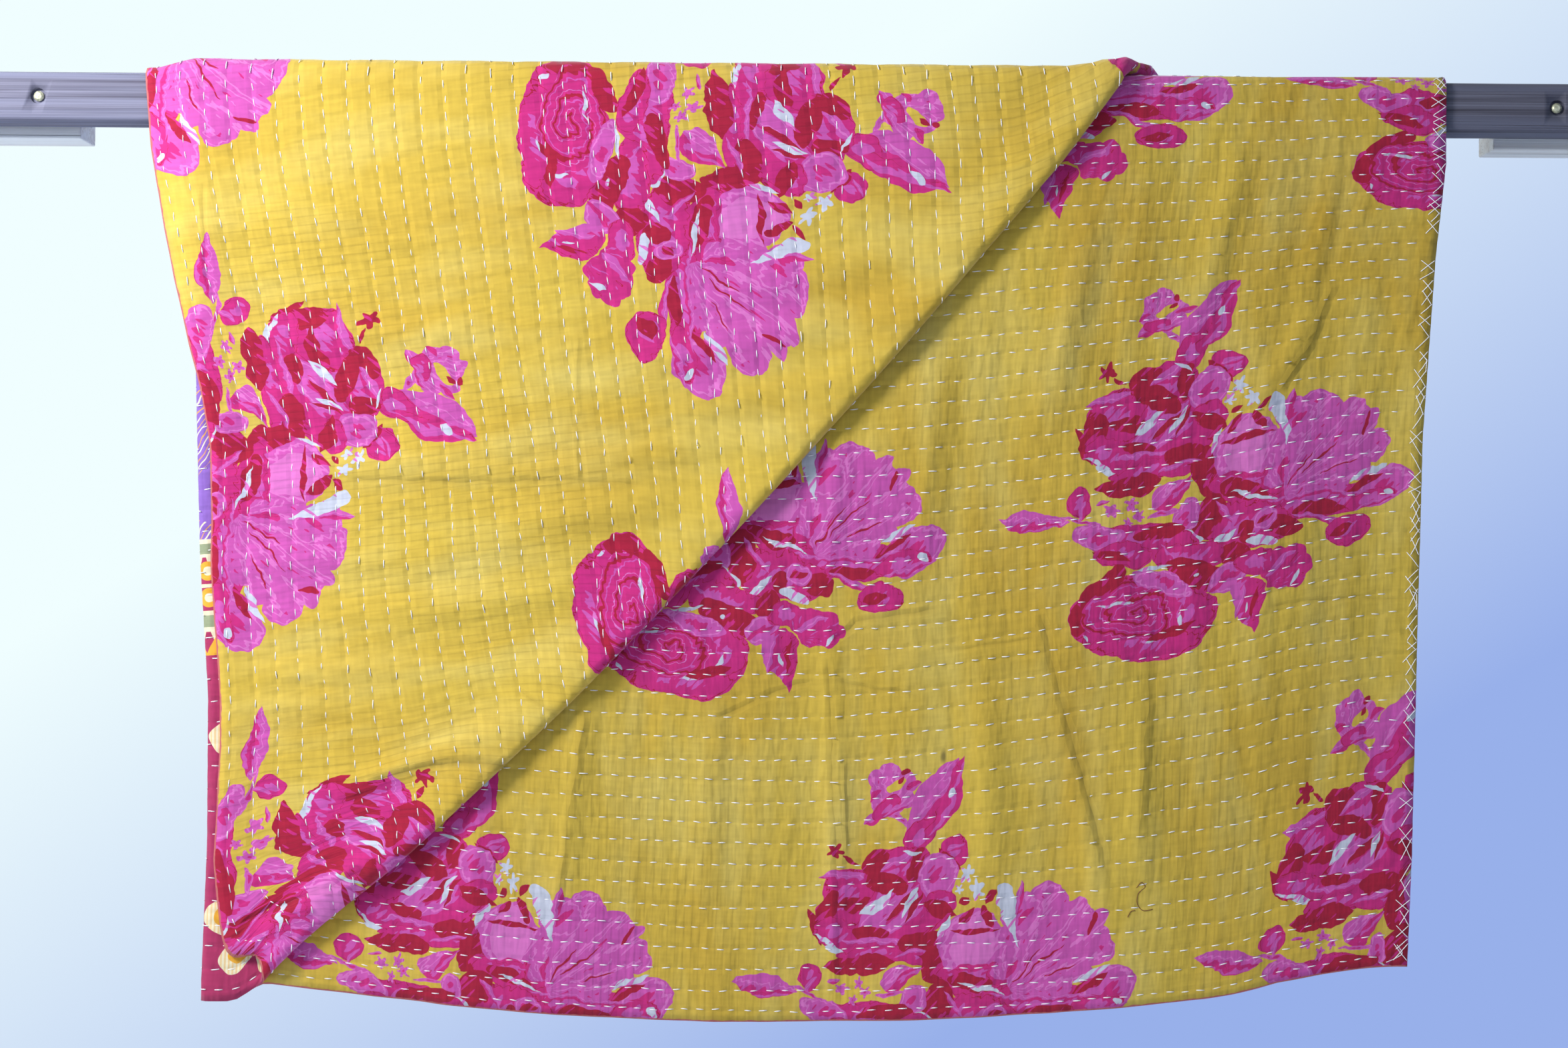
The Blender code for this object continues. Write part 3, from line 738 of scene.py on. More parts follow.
ink = inks()
lobeCount = {"star": 5, "rose": 3.5, "scallop": 3, "fan": 7}
petalFinish = {
    "pink": ((0, "magenta"), (0.10, "pink"), (0.62, "palePink"), (0.80, "pink")),
    "magenta": ((0, "pink"), (0.16, "magenta"), (0.86, "crimson"), (0.92, "magenta")),
}
roseFinish = (
    (0.00, "magenta"), (0.34, "pink"), (0.42, "magenta"),
    (0.60, "crimson"), (0.76, "magenta"), (0.90, "palePink"),
    (0.94, "magenta"),
)
bouquet = {
    "cell": (0.414, 0.382),
    "lean": 0.234,  # each row of bouquets is set over by this
    "first": (0.217, 0.048),
    "together": 12,  # petals in one node group
    "zones": (3, 3),  # parts of a cell, each with its own petals alone
    "wobble": 13,
    "window": (0.190, 0.195),  # how far a bouquet's cell reaches left of and below its middle
    # kind, across, up, half length, half width (millimetres), turn (degrees), finish
    "petals": (
        ("disc", -91, -24, 19, 1.6, -17, "pink"),
        ("leaf", -131, -19, 31, 9, -10, "pink"),
        ("leaf", -125, -25, 21, 3, -3, "magenta"),
        ("disc", -91, -9, 12, 12, 100, "magenta"),
        ("leaf", -88, -16, 9, 3, 57, "pink"),
        ("disc", -17, 124, 13, 3, -43, "pink"),
        ("scallop", -23, 149, 20, 23, 28, "pink"),
        ("leaf", -38, 129, 10, 5, 33, "pink"),
        ("leaf", -5, 151, 8, 4, 17, "magenta"),
        ("disc", -28, 135, 12, 7, 22, "magenta"),
        ("leaf", -20, 132, 12, 3, 16, "pink"),
        ("disc", -20, 151, 10, 4, 40, "yellow"),
        ("leaf", -16, 156, 5, 2.0, 46, "crimson"),
        ("disc", -13, 164, 3, 3, -6, "crimson"),
        ("leaf", -38, 144, 6, 4, 39, "magenta"),
        ("leaf", 15, 135, 44, 20, 59, "pink"),
        ("disc", 4, 108, 18, 13, 38, "magenta"),
        ("leaf", 20, 130, 28, 9, 66, "magenta"),
        ("leaf", 13, 139, 26, 7, 51, "pink"),
        ("leaf", 34, 160, 15, 4, 62, "magenta"),
        ("leaf", 28, 147, 6, 3, 53, "white"),
        ("disc", 36, 94, 13, 13, 14, "magenta"),
        ("leaf", 37, 98, 9, 3, 26, "pink"),
        ("leaf", 30, 87, 13, 4, -43, "crimson"),
        ("disc", -21, 51, 56, 43, 13, "magenta"),
        ("disc", -58, 60, 27, 25, 24, "magenta"),
        ("leaf", -64, 77, 24, 5, 8, "pink"),
        ("leaf", -55, 54, 17, 5, 5, "crimson"),
        ("disc", -79, 49, 17, 10, 76, "crimson"),
        ("leaf", -88, 34, 18, 5, -62, "crimson"),
        ("disc", -68, 28, 23, 13, -25, "magenta"),
        ("disc", -18, 83, 32, 18, 6, "magenta"),
        ("disc", -37, 90, 15, 9, 20, "crimson"),
        ("disc", -26, 71, 23, 9, -27, "crimson"),
        ("leaf", -18, 89, 17, 5, 26, "pink"),
        ("disc", -0, 83, 15, 8, 76, "crimson"),
        ("leaf", -4, 95, 10, 1.7, -20, "white"),
        ("disc", 20, 74, 19, 17, 61, "pink"),
        ("disc", 23, 53, 15, 11, 4, "magenta"),
        ("leaf", 22, 48, 16, 7, -21, "crimson"),
        ("disc", -23, 41, 27, 12, 22, "pink"),
        ("disc", -47, 52, 17, 7, 8, "crimson"),
        ("leaf", -32, 52, 16, 4, 34, "white"),
        ("leaf", -15, 49, 21, 5, 38, "pink"),
        ("leaf", -12, 50, 19, 3, 38, "crimson"),
        ("leaf", -4, 52, 13, 3, 62, "white"),
        ("leaf", 0, 50, 14, 2, 66, "crimson"),
        ("disc", -39, 30, 16, 6, -7, "crimson"),
        ("leaf", -32, 22, 33, 4, -3, "pink"),
        ("leaf", -74, 20, 16, 1.9, -27, "white"),
        ("disc", -68, 15, 9, 2, -16, "white"),
        ("leaf", -35, 11, 28, 4, 4, "pink"),
        ("disc", -3, 11, 26, 10, 3, "magenta"),
        ("disc", -35, 11, 32, 7, 0, "magenta"),
        ("leaf", -57, 1, 20, 9, -3, "crimson"),
        ("leaf", -38, 1, 20, 10, 2, "crimson"),
        ("disc", -47, 2, 25, 8, 0, "crimson"),
        ("disc", 3, 19, 19, 10, -2, "crimson"),
        ("disc", 19, 6, 22, 12, 80, "crimson"),
        ("leaf", -3, 10, 17, 3, 13, "pink"),
        ("tear", -9, -11, 20, 13, 33, "pink"),
        ("leaf", -3, -8, 13, 3, 40, "magenta"),
        ("disc", 63, -18, 46, 16, -19, "magenta"),
        ("disc", 82, -13, 15, 14, -13, "magenta"),
        ("disc", 120, -38, 65, 15, -3, "magenta"),
        ("disc", 177, -32, 27, 19, 31, "pink"),
        ("disc", 166, -43, 25, 9, 7, "magenta"),
        ("leaf", 172, -48, 23, 3, 11, "pink"),
        ("disc", 183, -40, 5, 3, -33, "white"),
        ("disc", 120, 45, 20, 15, -7, "pink"),
        ("disc", 148, 31, 14, 12, 15, "pink"),
        ("disc", 166, 5, 17, 13, -5, "pink"),
        ("fan", 121, 9, 57, 44, 6, "pink"),
        ("disc", 97, 37, 19, 19, -7, "pink"),
        ("tear", 84, 38, 27, 8, -75, "white"),
        ("leaf", 92, 51, 14, 4, 77, "pink"),
        ("disc", 52, 18, 30, 27, 82, "pink"),
        ("disc", 54, 17, 25, 19, 87, "palePink"),
        ("leaf", 45, 42, 10, 4, 48, "crimson"),
        ("disc", 65, 40, 11, 4, 117, "crimson"),
        ("leaf", 28, 31, 13, 2, 70, "white"),
        ("leaf", 54, 27, 23, 3, -0, "crimson"),
        ("leaf", 50, -7, 22, 5, -4, "magenta"),
        ("disc", 52, -17, 22, 7, -18, "crimson"),
        ("leaf", 62, -23, 21, 2, -19, "white"),
        ("disc", 102, -7, 20, 0.8, 47, "crimson"),
        ("disc", 118, -2, 23, 0.8, 35, "crimson"),
        ("disc", 134, -13, 16, 0.8, 18, "crimson"),
        ("leaf", 88, -8, 11, 5, 68, "magenta"),
        ("disc", 158, 26, 10, 2, 72, "crimson"),
        ("leaf", 162, -17, 18, 3, 24, "white"),
        ("leaf", 159, -26, 19, 4, 25, "crimson"),
        ("leaf", 117, -33, 50, 3, -3, "pink"),
        ("disc", 120, -46, 22, 6, -1, "crimson"),
        ("leaf", 125, -56, 30, 3, -20, "pink"),
        ("disc", 145, -69, 21, 13, 0, "magenta"),
        ("leaf", 140, -69, 12, 5, 13, "crimson"),
        ("disc", 56, -47, 44, 20, -12, "magenta"),
        ("disc", 23, -32, 20, 14, 75, "crimson"),
        ("disc", 3, -32, 15, 10, 75, "pink"),
        ("disc", 9, -48, 12, 5, -21, "white"),
        ("leaf", 37, -33, 16, 3, -52, "pink"),
        ("disc", 57, -52, 10, 7, 81, "crimson"),
        ("disc", 90, -55, 15, 9, -14, "crimson"),
        ("disc", 73, -46, 11, 10, -13, "pink"),
        ("leaf", 73, -46, 8, 3, 18, "crimson"),
        ("disc", 70, -64, 14, 4, -18, "white"),
        ("leaf", 38, -55, 13, 3, 28, "white"),
        ("disc", -34, -48, 51, 15, -6, "magenta"),
        ("disc", -22, -43, 26, 7, 6, "crimson"),
        ("disc", -77, -39, 24, 10, -17, "pink"),
        ("disc", -54, -60, 28, 12, -13, "magenta"),
        ("leaf", -64, -59, 21, 5, -26, "crimson"),
        ("disc", 7, -66, 35, 14, -8, "magenta"),
        ("leaf", -12, -63, 13, 2, -44, "pink"),
        ("disc", 46, -72, 13, 13, 82, "crimson"),
        ("disc", 12, -83, 30, 13, -26, "crimson"),
        ("disc", -38, -113, 66, 34, -7, "magenta"),
        ("disc", -2, -113, 30, 21, 3, "magenta"),
        ("disc", -34, -135, 48, 15, -4, "magenta"),
        ("disc", -94, -107, 14, 9, 86, "crimson"),
        ("disc", -71, -81, 21, 8, 22, "crimson"),
        ("rose", -44, -108, 48, 26, -9, "rose"),
        ("disc", -18, -87, 29, 9, -21, "pink"),
        ("leaf", -25, -73, 15, 1.8, 4, "white"),
        ("disc", 9, -83, 3, 1.8, -8, "white"),
        ("leaf", -61, -95, 15, 1.6, -0, "white"),
        ("leaf", -0, -120, 7, 1.6, 69, "white"),
        ("leaf", -28, -134, 10, 1.8, 4, "white"),
        ("leaf", -87, -124, 4, 1.3, 119, "white"),
        ("leaf", -11, -129, 22, 4, 12, "crimson"),
        ("disc", 40, -92, 18, 12, 27, "pink"),
        ("leaf", 37, -95, 15, 4, 27, "magenta"),
        ("disc", 63, -81, 19, 11, -3, "magenta"),
        ("scallop", 91, -91, 24, 19, -5, "magenta"),
        ("leaf", 86, -87, 16, 5, 30, "pink"),
        ("leaf", 98, -102, 8, 2, 51, "white"),
        ("tear", 58, -119, 25, 19, -83, "magenta"),
        ("leaf", 50, -115, 14, 5, 74, "pink"),
        ("leaf", 63, -117, 14, 2, 73, "crimson"),
        ("leaf", 57, -119, 5, 1.2, 85, "white"),
        ("star", -62, -19, 7, 6, -8, "pink"),
        ("star", -46, -15, 6, 7, 12, "pink"),
        ("star", -39, -24, 6, 6, 45, "pink"),
        ("star", -51, -30, 5, 5, 2, "pink"),
        ("leaf", -69, -12, 6, 2.0, 12, "pink"),
        ("disc", -17, -28, 15, 2, 4, "pink"),
        ("star", 47, 75, 8, 8, 2, "white"),
        ("star", 57, 62, 7, 9, 24, "white"),
        ("star", 40, 64, 5, 5, -8, "white"),
        ("leaf", 45, 55, 6, 3, 30, "crimson"),
        ("leaf", 68, 55, 7, 3, 48, "crimson"),
        ("star", -70, 98, 9, 8, -6, "crimson"),
        ("leaf", -58, 92, 6, 2.0, -33, "crimson"),
    ),
}


def addPetal(dye, under, place, streak, petal, worn):
    kind, atX, atY, long, wide, turn, finish = petal
    cosine, sine = math.cos(math.radians(turn)), math.sin(math.radians(turn))
    atX, atY, long, wide = (0.001 * size for size in (atX, atY, long, wide))
    x = dye.alongAxis(place, atX, atY, cosine, sine, long)
    y = dye.alongAxis(place, atX, atY, -sine, cosine, wide)
    if kind == "leaf":
        inside = x * x + abs(y) < 1
        tone = y * 1.2 + (streak * 1.6 + 0.45)
    elif kind == "tear":
        flat = y / (0.72 - x * 0.62)
        inside = x * x + flat * flat < 1
        tone = y * 0.8 + (streak * 1.8 + 0.4)
    elif kind == "disc":
        away = x * x + y * y
        inside = away < 1
        tone = away + streak
    else:
        around = dye.node("Math", {"operation": "ARCTAN2"}, {0: y, 1: x})
        away = dye.node("Math", {"operation": "SQRT"}, {0: x * x + y * y})
        lobes = dye.node("Math", {"operation": "COSINE"}, {0: around * lobeCount[kind]})
        if kind == "star":
            inside = away < lobes * 0.26 + 0.72
            tone = away + streak
        elif kind == "rose":
            inside = away < abs(lobes) * 0.10 + 0.92
            tone = dye.wrap(away * 2.4 + around * (1 / (2 * math.pi)) + lobes * 0.10 + streak * 0.5)
        else:
            inside = away < abs(lobes) * 0.16 + 0.86
            ray = dye.node("Math", {"operation": "ARCTAN2"}, {0: y + 0.75, 1: x + 0.70})
            tone = abs(dye.wrap(ray * 3.6 + streak * 0.3) - 0.5) * 1.1 + streak * 1.2 + 0.22
    stops = roseFinish if finish == "rose" else petalFinish.get(finish)
    if stops is None:
        return dye.mix(inside, under, worn.get(finish, ink[finish]))
    colour = dye.node("ValToRGB", {"stops": [(at, ink[name]) for at, name in stops]}, {0: tone})
    return dye.mix(inside, under, colour)


def petalGroup(name, petals, wait):
    group = bpy.data.node_groups.new(name, "ShaderNodeTree")
    kinds = {"Place": "Vector", "Streak": "Float", "Dark": "Color", "Light": "Color", "Colour": "Color"}
    for title, kind in kinds.items():
        group.interface.new_socket(title, in_out="INPUT", socket_type="NodeSocket" + kind)
    group.interface.new_socket("Colour", in_out="OUTPUT", socket_type="NodeSocketColor")
    dye = Dye(name, group)
    place, streak, dark, light, colour = (dye.node("NodeGroupInput", None, None, i) for i in range(5))
    # the place waits for the last group's colour, by an amount of its own,
    # so that few values are held at a time
    place = dye.scaledOnto(colour, (wait,) * 3, place)
    worn = {"crimson": dark, "white": light}
    for petal in petals:
        colour = addPetal(dye, colour, place, streak, petal, worn)
    group.links.new(colour.out, group.nodes.new("NodeGroupOutput").inputs[0])
    return group


def petalsNear(left, low, wide, tall):
    # the petals that can reach this part of a bouquet's cell, in millimetres
    near = []
    for petal in bouquet["petals"]:
        _, atX, atY, long, width, turn, _ = petal
        cosine, sine = math.cos(math.radians(turn)), math.sin(math.radians(turn))
        reachX = 1.05 * math.hypot(long * cosine, width * sine) + bouquet["wobble"]
        reachY = 1.05 * math.hypot(long * sine, width * cosine) + bouquet["wobble"]
        if left - reachX < atX < left + wide + reachX and low - reachY < atY < low + tall + reachY:
            near.append(petal)
    return near


def printedFace():
    dye = Dye("quilt_face_a")
    stainX, stainY, stainWide, stainTall = cloth["stain"]
    sheet = dye.sheetPlace()
    u, v = dye.split(sheet)
    warp = dye.drift(sheet, 30.0, 1.0)
    fine = dye.drift(sheet, 150.0, 0.0)
    wide, tall = bouquet["cell"]
    up = v - (bouquet["first"][1] - bouquet["window"][1])
    row = dye.whole(up / tall)
    y = up - row * tall - bouquet["window"][1]
    across = u - row * bouquet["lean"] - (bouquet["first"][0] - bouquet["window"][0])
    x = dye.wrap(across / wide) * wide - bouquet["window"][0]
    place = dye.joinXY(x, y, 1)
    streak = (dye.speckle(dye.joinXY(x * 0.7 + y * 0.7, (y - x) * 3.2), 46, 1.5) - 0.5) * 1.15
    place = dye.scaledOnto(warp, (0.017, 0.017, 0), place)
    place = dye.scaledOnto(fine, (0.0030, 0.0030, 0), place)
    wobble = dye.joinXY(streak * 0.0016, streak * 0.0012)
    place = dye.node("VectorMath", {"operation": "ADD"}, {0: place, 1: wobble})

    patches = dye.spread(dye.speckle(sheet, 5, 1, (2.0, 0.8, 1)), 0.25, 0.62)
    ground = dye.mix(patches, ink["deepYellow"], ink["yellow"])
    pale = dye.spread(dye.speckle(sheet, 16, 2, (1.4, 0.5, 1)), 0.45, 0.85)
    colour = dye.mix(pale, ground, ink["paleYellow"])
    dark = dye.mix(streak > 0.13, ink["crimson"], ink["magenta"])
    light = dye.mix(streak > 0.12, ink["white"], ink["palePink"])
    columns, rows = bouquet["zones"]
    zone = dye.whole(dye.wrap(across / wide) * columns) + dye.whole((up / tall - row) * rows) * columns
    away = dye.length(dye.joinXY((u - stainX) / stainWide, (v - stainY) / stainTall))
    stain = dye.spread(away, 0.3, 1.0, (0.7, 0))
    prints = []
    for number in range(columns * rows):
        zoneWide, zoneTall = 1000 * wide / columns, 1000 * tall / rows
        left = zoneWide * (number % columns) - 1000 * bouquet["window"][0]
        low = zoneTall * (number // columns) - 1000 * bouquet["window"][1]
        petals = petalsNear(left, low, zoneWide, zoneTall)
        dyed = colour
        for start in range(0, len(petals), bouquet["together"]):
            some = petals[start : start + bouquet["together"]]
            group = petalGroup("petals_%d_%d" % (number, start), some, 1e-8 * (10 + number + start))
            given = {0: place, 1: streak, 2: dark, 3: light, 4: dyed}
            dyed = dye.node("Group", {"node_tree": group}, given)
        prints.append(dye.mix(stain, dyed, ink["stain"]))
    finishCloth(dye, sheet, u, v, prints, paint(168, 90, 90), zone, pressedLines(dye, sheet))
    return dye.material


def pressedLines(dye, sheet):
    place = dye.scaledOnto(dye.drift(sheet, 40.0, 1.0), (0.006, 0.006, 0), sheet)
    flat = dye.node("VectorMath", {"operation": "ADD"}, {0: place, 1: (0, 0, 1)})
    total = None
    for half, high, run in pressed:
        # the place waits for the last line, as the petals' does
        place = dye.scaledOnto(total, (1e-8,) * 3, flat) if total else flat
        for (fromX, fromY), (toX, toY) in zip(run, run[1:]):
            long = math.hypot(toX - fromX, toY - fromY)
            cosine, sine = (toX - fromX) / long, (toY - fromY) / long
            x, y = (fromX + toX) / 2, (fromY + toY) / 2
            along = abs(dye.alongAxis(place, x, y, cosine, sine, long / 2))
            off = abs(dye.alongAxis(place, x, y, -sine, cosine, half))
            line = dye.spread(off, 0, 1, (high, 0)) * dye.spread(along, 0.85, 1.1, (1, 0))
            total = line if total is None else total + line
    return total


def finishCloth(dye, sheet, u, v, prints, hemColour, zone=None, lines=None):
    # what both faces share: slubs, ghost stripes of the inner layers, soil, painted shade on the rear layer
    # and along the pressed lines, puckers and the hem's edge
    slub = dye.speckle(sheet, 260, 1, (1, 0.16, 1)) + dye.speckle(sheet, 260, 1, (0.16, 1, 1))
    shade = dye.spread(slub, 0.75, 1.25, (0.93, 1.05))
    stripes = dye.wrap(u / 0.0072)
    ghosts = (stripes < 0.16) * dye.spread(dye.speckle(sheet, 4, 1, (1, 0.5, 1)), 0.48, 0.54)
    shade = shade * (1 - ghosts * 0.09)
    soil = dye.spread(dye.speckle(sheet, 9, 2), 0.60, 0.80)
    # soil darkens at random; the rear layer (u above nought) is painted darker, up to 12 per cent, as
    # painted shade
    shade = shade * (1 - soil * 0.10) * dye.spread(u, -0.04, 0.06, (1.0, 0.88))
    # painted shade: the pressed lines darken the colour along them, ridges and hollows alike
    if lines:
        shade = shade * (1 - abs(lines) * 0.14)
    edge = v + (dye.speckle(sheet, 120, 1) - 0.5) * 0.002 < 0.0012
    row = dye.whole(v / rowPitch)
    phase = dye.wrap(row * 0.37)
    fromRow = abs(dye.wrap(v / rowPitch) - 0.5)
    nearRow = dye.spread(fromRow, 0.0, 0.22, (1, 0))
    stitch = dye.node("Math", {"operation": "COSINE"}, {0: (u / thread["pitch"] - phase) * (2 * math.pi)})
    pucker = nearRow * (stitch * 0.3 + 0.7)
    wrinkle = dye.speckle(sheet, 55, 2, (1.7, 0.4, 1))
    height = wrinkle * 2.3 - pucker * 0.9 - ghosts * 0.10
    if lines:
        height = height + lines
    normal = dye.node("Bump", None, {"Strength": 0.9, "Distance": 0.0011, "Height": height})
    parts = []
    for colour in prints:
        if parts:
            dye.shader = dye.node("BsdfPrincipled").out.node
        colour = dye.node("VectorMath", {"operation": "SCALE"}, {0: colour, "Scale": shade})
        dye.set(Base_Color=dye.mix(edge, colour, hemColour), Roughness=0.92, Normal=normal)
        dye.set(Sheen_Weight=0.12, Specular_IOR_Level=0.18)
        parts.append(Socket(dye, dye.shader.outputs[0]))
    whole = joinParts(dye, zone, parts, 0)
    dye.tree.links.new(whole.out, dye.tree.nodes["Material Output"].inputs[0])


def joinParts(dye, zone, parts, first):
    # each part of the print is worked out only where it lies
    if len(parts) == 1:
        return parts[0]
    half = len(parts) // 2
    lower = joinParts(dye, zone, parts[:half], first)
    upper = joinParts(dye, zone, parts[half:], first + half)
    return dye.node("MixShader", None, {0: zone > first + half - 0.5, 1: lower, 2: upper})


# ---- the sari face

sari = {
    "maroon": paint(150, 44, 84),
    "purple": paint(122, 88, 166),
    "ochre": paint(206, 150, 50),
    "cream": paint(206, 196, 168),
    "green": paint(132, 140, 112),
    "border": (0.284, 0.384),
}


def sariFace():
    dye = Dye("quilt_face_b")
    sheet = dye.sheetPlace()
    u, v = dye.split(sheet)
    place = dye.scaledOnto(dye.drift(sheet, 45.0, 1.0), (0.012, 0.012, 0), sheet)
    wideU, wideV = dye.split(place)
    # big flowers of ochre petals in cream bands
    cellX = (dye.wrap(wideU / 0.150) - 0.5) * 0.150
    cellY = (dye.wrap(wideV / 0.142) - 0.5) * 0.142
    spot = dye.joinXY(cellX, cellY)
    away = dye.length(spot)
    around = dye.node("Math", {"operation": "ARCTAN2"}, {0: cellY, 1: cellX})
    lobes = abs(dye.node("Math", {"operation": "COSINE"}, {0: around * 4}))
    petal = away - lobes * 0.020
    flower = dye.node(
        "ValToRGB",
        {
            "stops": [
                (0, sari["maroon"]), (0.10, sari["cream"]), (0.16, sari["ochre"]),
                (0.42, sari["cream"]), (0.52, sari["maroon"]),
            ]
        },
        {0: petal / 0.085},
    )
    creamy = (petal > 0.0085) * (petal < 0.0136) + (petal > 0.0357) * (petal < 0.0442)
    field = dye.mix((dye.wrap(u / 0.0034) < 0.45) * creamy * 0.45, flower, sari["ochre"])
    # purple field with slanting stripes and leaves
    slant = dye.wrap((wideU + wideV * 0.9) / 0.0125)
    stripe = dye.node(
        "ValToRGB",
        {
            "stops": [
                (0, sari["purple"]), (0.38, sari["cream"]), (0.50, sari["purple"]),
                (0.84, sari["ochre"]), (0.93, sari["purple"]),
            ]
        },
        {0: slant},
    )
    calm = dye.speckle(sheet, 9, 0) > 0.56
    leafy = dye.mix(calm, stripe, sari["purple"])
    # the border between them
    low, high = sari["border"]
    rise = (v - low) / (high - low)
    flames = dye.wrap(u / 0.022)
    tooth = abs(flames - 0.5) * 0.36 + 0.02 > rise
    scroll = abs(dye.node("Math", {"operation": "SINE"}, {0: u / 0.0042}))
    band = dye.node(
        "ValToRGB",
        {
            "stops": [
                (0, sari["maroon"]), (0.20, sari["cream"]), (0.24, sari["green"]),
                (0.34, sari["cream"]), (0.38, sari["maroon"]), (0.58, sari["cream"]),
                (0.61, sari["maroon"]), (0.84, sari["cream"]), (0.87, sari["green"]),
                (0.96, sari["cream"]),
            ]
        },
        {0: rise},
    )
    curl = abs(dye.wrap(rise * 1.6 + 0.03) - 0.5) * 3.5 < scroll
    scrolled = dye.mix(curl * (dye.wrap(rise / 0.63 + 0.62) > 0.78), band, sari["cream"])
    dropX = dye.wrap(u / 0.032) - 0.5
    dropY = dye.wrap((rise - 0.38) / 0.23) - 0.5
    dropAway = dye.length(dye.joinXY(dropX * 1.15, dropY * 0.95))
    drop = dye.mix(dropAway < 0.16, sari["ochre"], sari["cream"])
    inBand = (rise > 0.38) * (rise < 0.84)
    border = dye.mix((dropAway < 0.34) * inBand, scrolled, drop)
    border = dye.mix(tooth * (rise < 0.2), border, sari["ochre"])
    colour = dye.mix(v > low, field, border)
    colour = dye.mix(v > high, colour, leafy)
    finishCloth(dye, sheet, u, v, [colour], sari["maroon"])
    return dye.material


# ---- thread, wood and metal


def threadMaterial(name, dark, light):
    dye = Dye(name)
    place = dye.node("TexCoord", None, None, 3)
    tone = dye.speckle(place, 700, 2)
    dye.set(Base_Color=dye.mix(tone, dark, light), Roughness=0.75)
    dye.bump(dye.speckle(place, 2600, 1), 0.0002, 0.6)
    return dye.material


def woodMaterial(name, light, dark, grey, falloff):
    dye = Dye(name)
    place = dye.node("TexCoord", None, None, 3)
    x, y = dye.split(place)
    grain = dye.speckle(place, 26, 6, (0.10, 9, 9))
    fine = dye.speckle(place, 90, 4, (0.05, 9, 9))
    rings = dye.speckle(place, 7, 3, (0.12, 7, 10))
    tone = dye.spread(grain * 0.55 + fine * 0.45, 0.34, 0.66)
    colour = dye.mix(tone, dark, light)
    colour = dye.mix(dye.spread(rings, 0.45, 0.62), colour, grey)
    # painted shade: the wood is painted darker towards the right (+X), away from the light; the last of the
    # three numbers is how dark it ends
    falloffShare = dye.spread(x + (dye.speckle(place, 3, 3) - 0.5) * 0.5, falloff[0], falloff[1], (0, 1))
    falloffShade = dye.spread(falloffShare, 0, 1, (1.0, falloff[2]))
    falloffShaded = dye.node("VectorMath", {"operation": "SCALE"}, {0: colour, "Scale": falloffShade})
    crack = dye.spread(dye.speckle(place, 60, 2, (0.03, 3, 9)), 0.66, 0.72)
    colour = dye.mix(crack * 0.7, falloffShaded, paint(36, 28, 34))
    dye.set(Base_Color=colour, Roughness=dye.spread(tone, 0, 1, (0.92, 0.78)))
    dye.bump(fine * 0.5 + grain * 0.7 - crack, 0.0009, 0.8)
    return dye.material


def boltMaterial():
    dye = Dye("bolt_metal")
    place = dye.node("TexCoord", None, None, 3)
    tone = dye.speckle(place, 420, 4)
    dye.set(
        Base_Color=dye.mix(dye.spread(tone, 0.35, 0.65), paint(150, 150, 128), paint(206, 206, 182)),
        Metallic=0.55,
        Roughness=dye.spread(tone, 0.3, 0.7, (0.38, 0.62)),
    )
    dye.bump(tone, 0.0002, 0.5)
    return dye.material


rail = {"edge": 0.0055, "wear": 0.0006, "steps": 150, "sink": 0.0068, "sinkDepth": 0.0036}


def timber(name, low, high, edge, wear, steps, material, slot, seed):
    # a worn squared timber: rounded edges and a slightly uneven surface
    made = bmesh.new()
    bmesh.ops.create_cube(made, size=1)
    size, middle = high - low, (low + high) / 2
    bmesh.ops.scale(made, vec=size, verts=made.verts)
    bmesh.ops.bevel(
        made,
        geom=list(made.edges),
        offset=edge,
        segments=4,
        profile=0.5,
        affect="EDGES",
        clamp_overlap=True,
    )
    inner = size.x / 2 - 2 * edge
    for i in range(steps + 1):
        x = -inner + 2 * inner * i / steps
        bmesh.ops.bisect_plane(
            made, geom=made.verts[:] + made.edges[:] + made.faces[:], plane_co=(x, 0, 0), plane_no=(1, 0, 0)
        )
    for vertex in made.verts:
        at = vertex.co
        rough = noise.noise(Vector((at.x / 0.05, at.y / 0.02, at.z / 0.02 + seed)))
        deep = noise.noise(Vector((at.x / 0.30, at.y / 0.03, at.z / 0.03 + seed)))
        away = Vector((0, at.y, at.z)).normalized()
        vertex.co = at + middle - wear * (0.6 + 0.25 * rough + 0.35 * deep) * away
    mesh = bpy.data.meshes.new(name)
    made.to_mesh(mesh)
    made.free()
    mesh.shade_smooth()
    return addPiece(name, mesh, (material,))


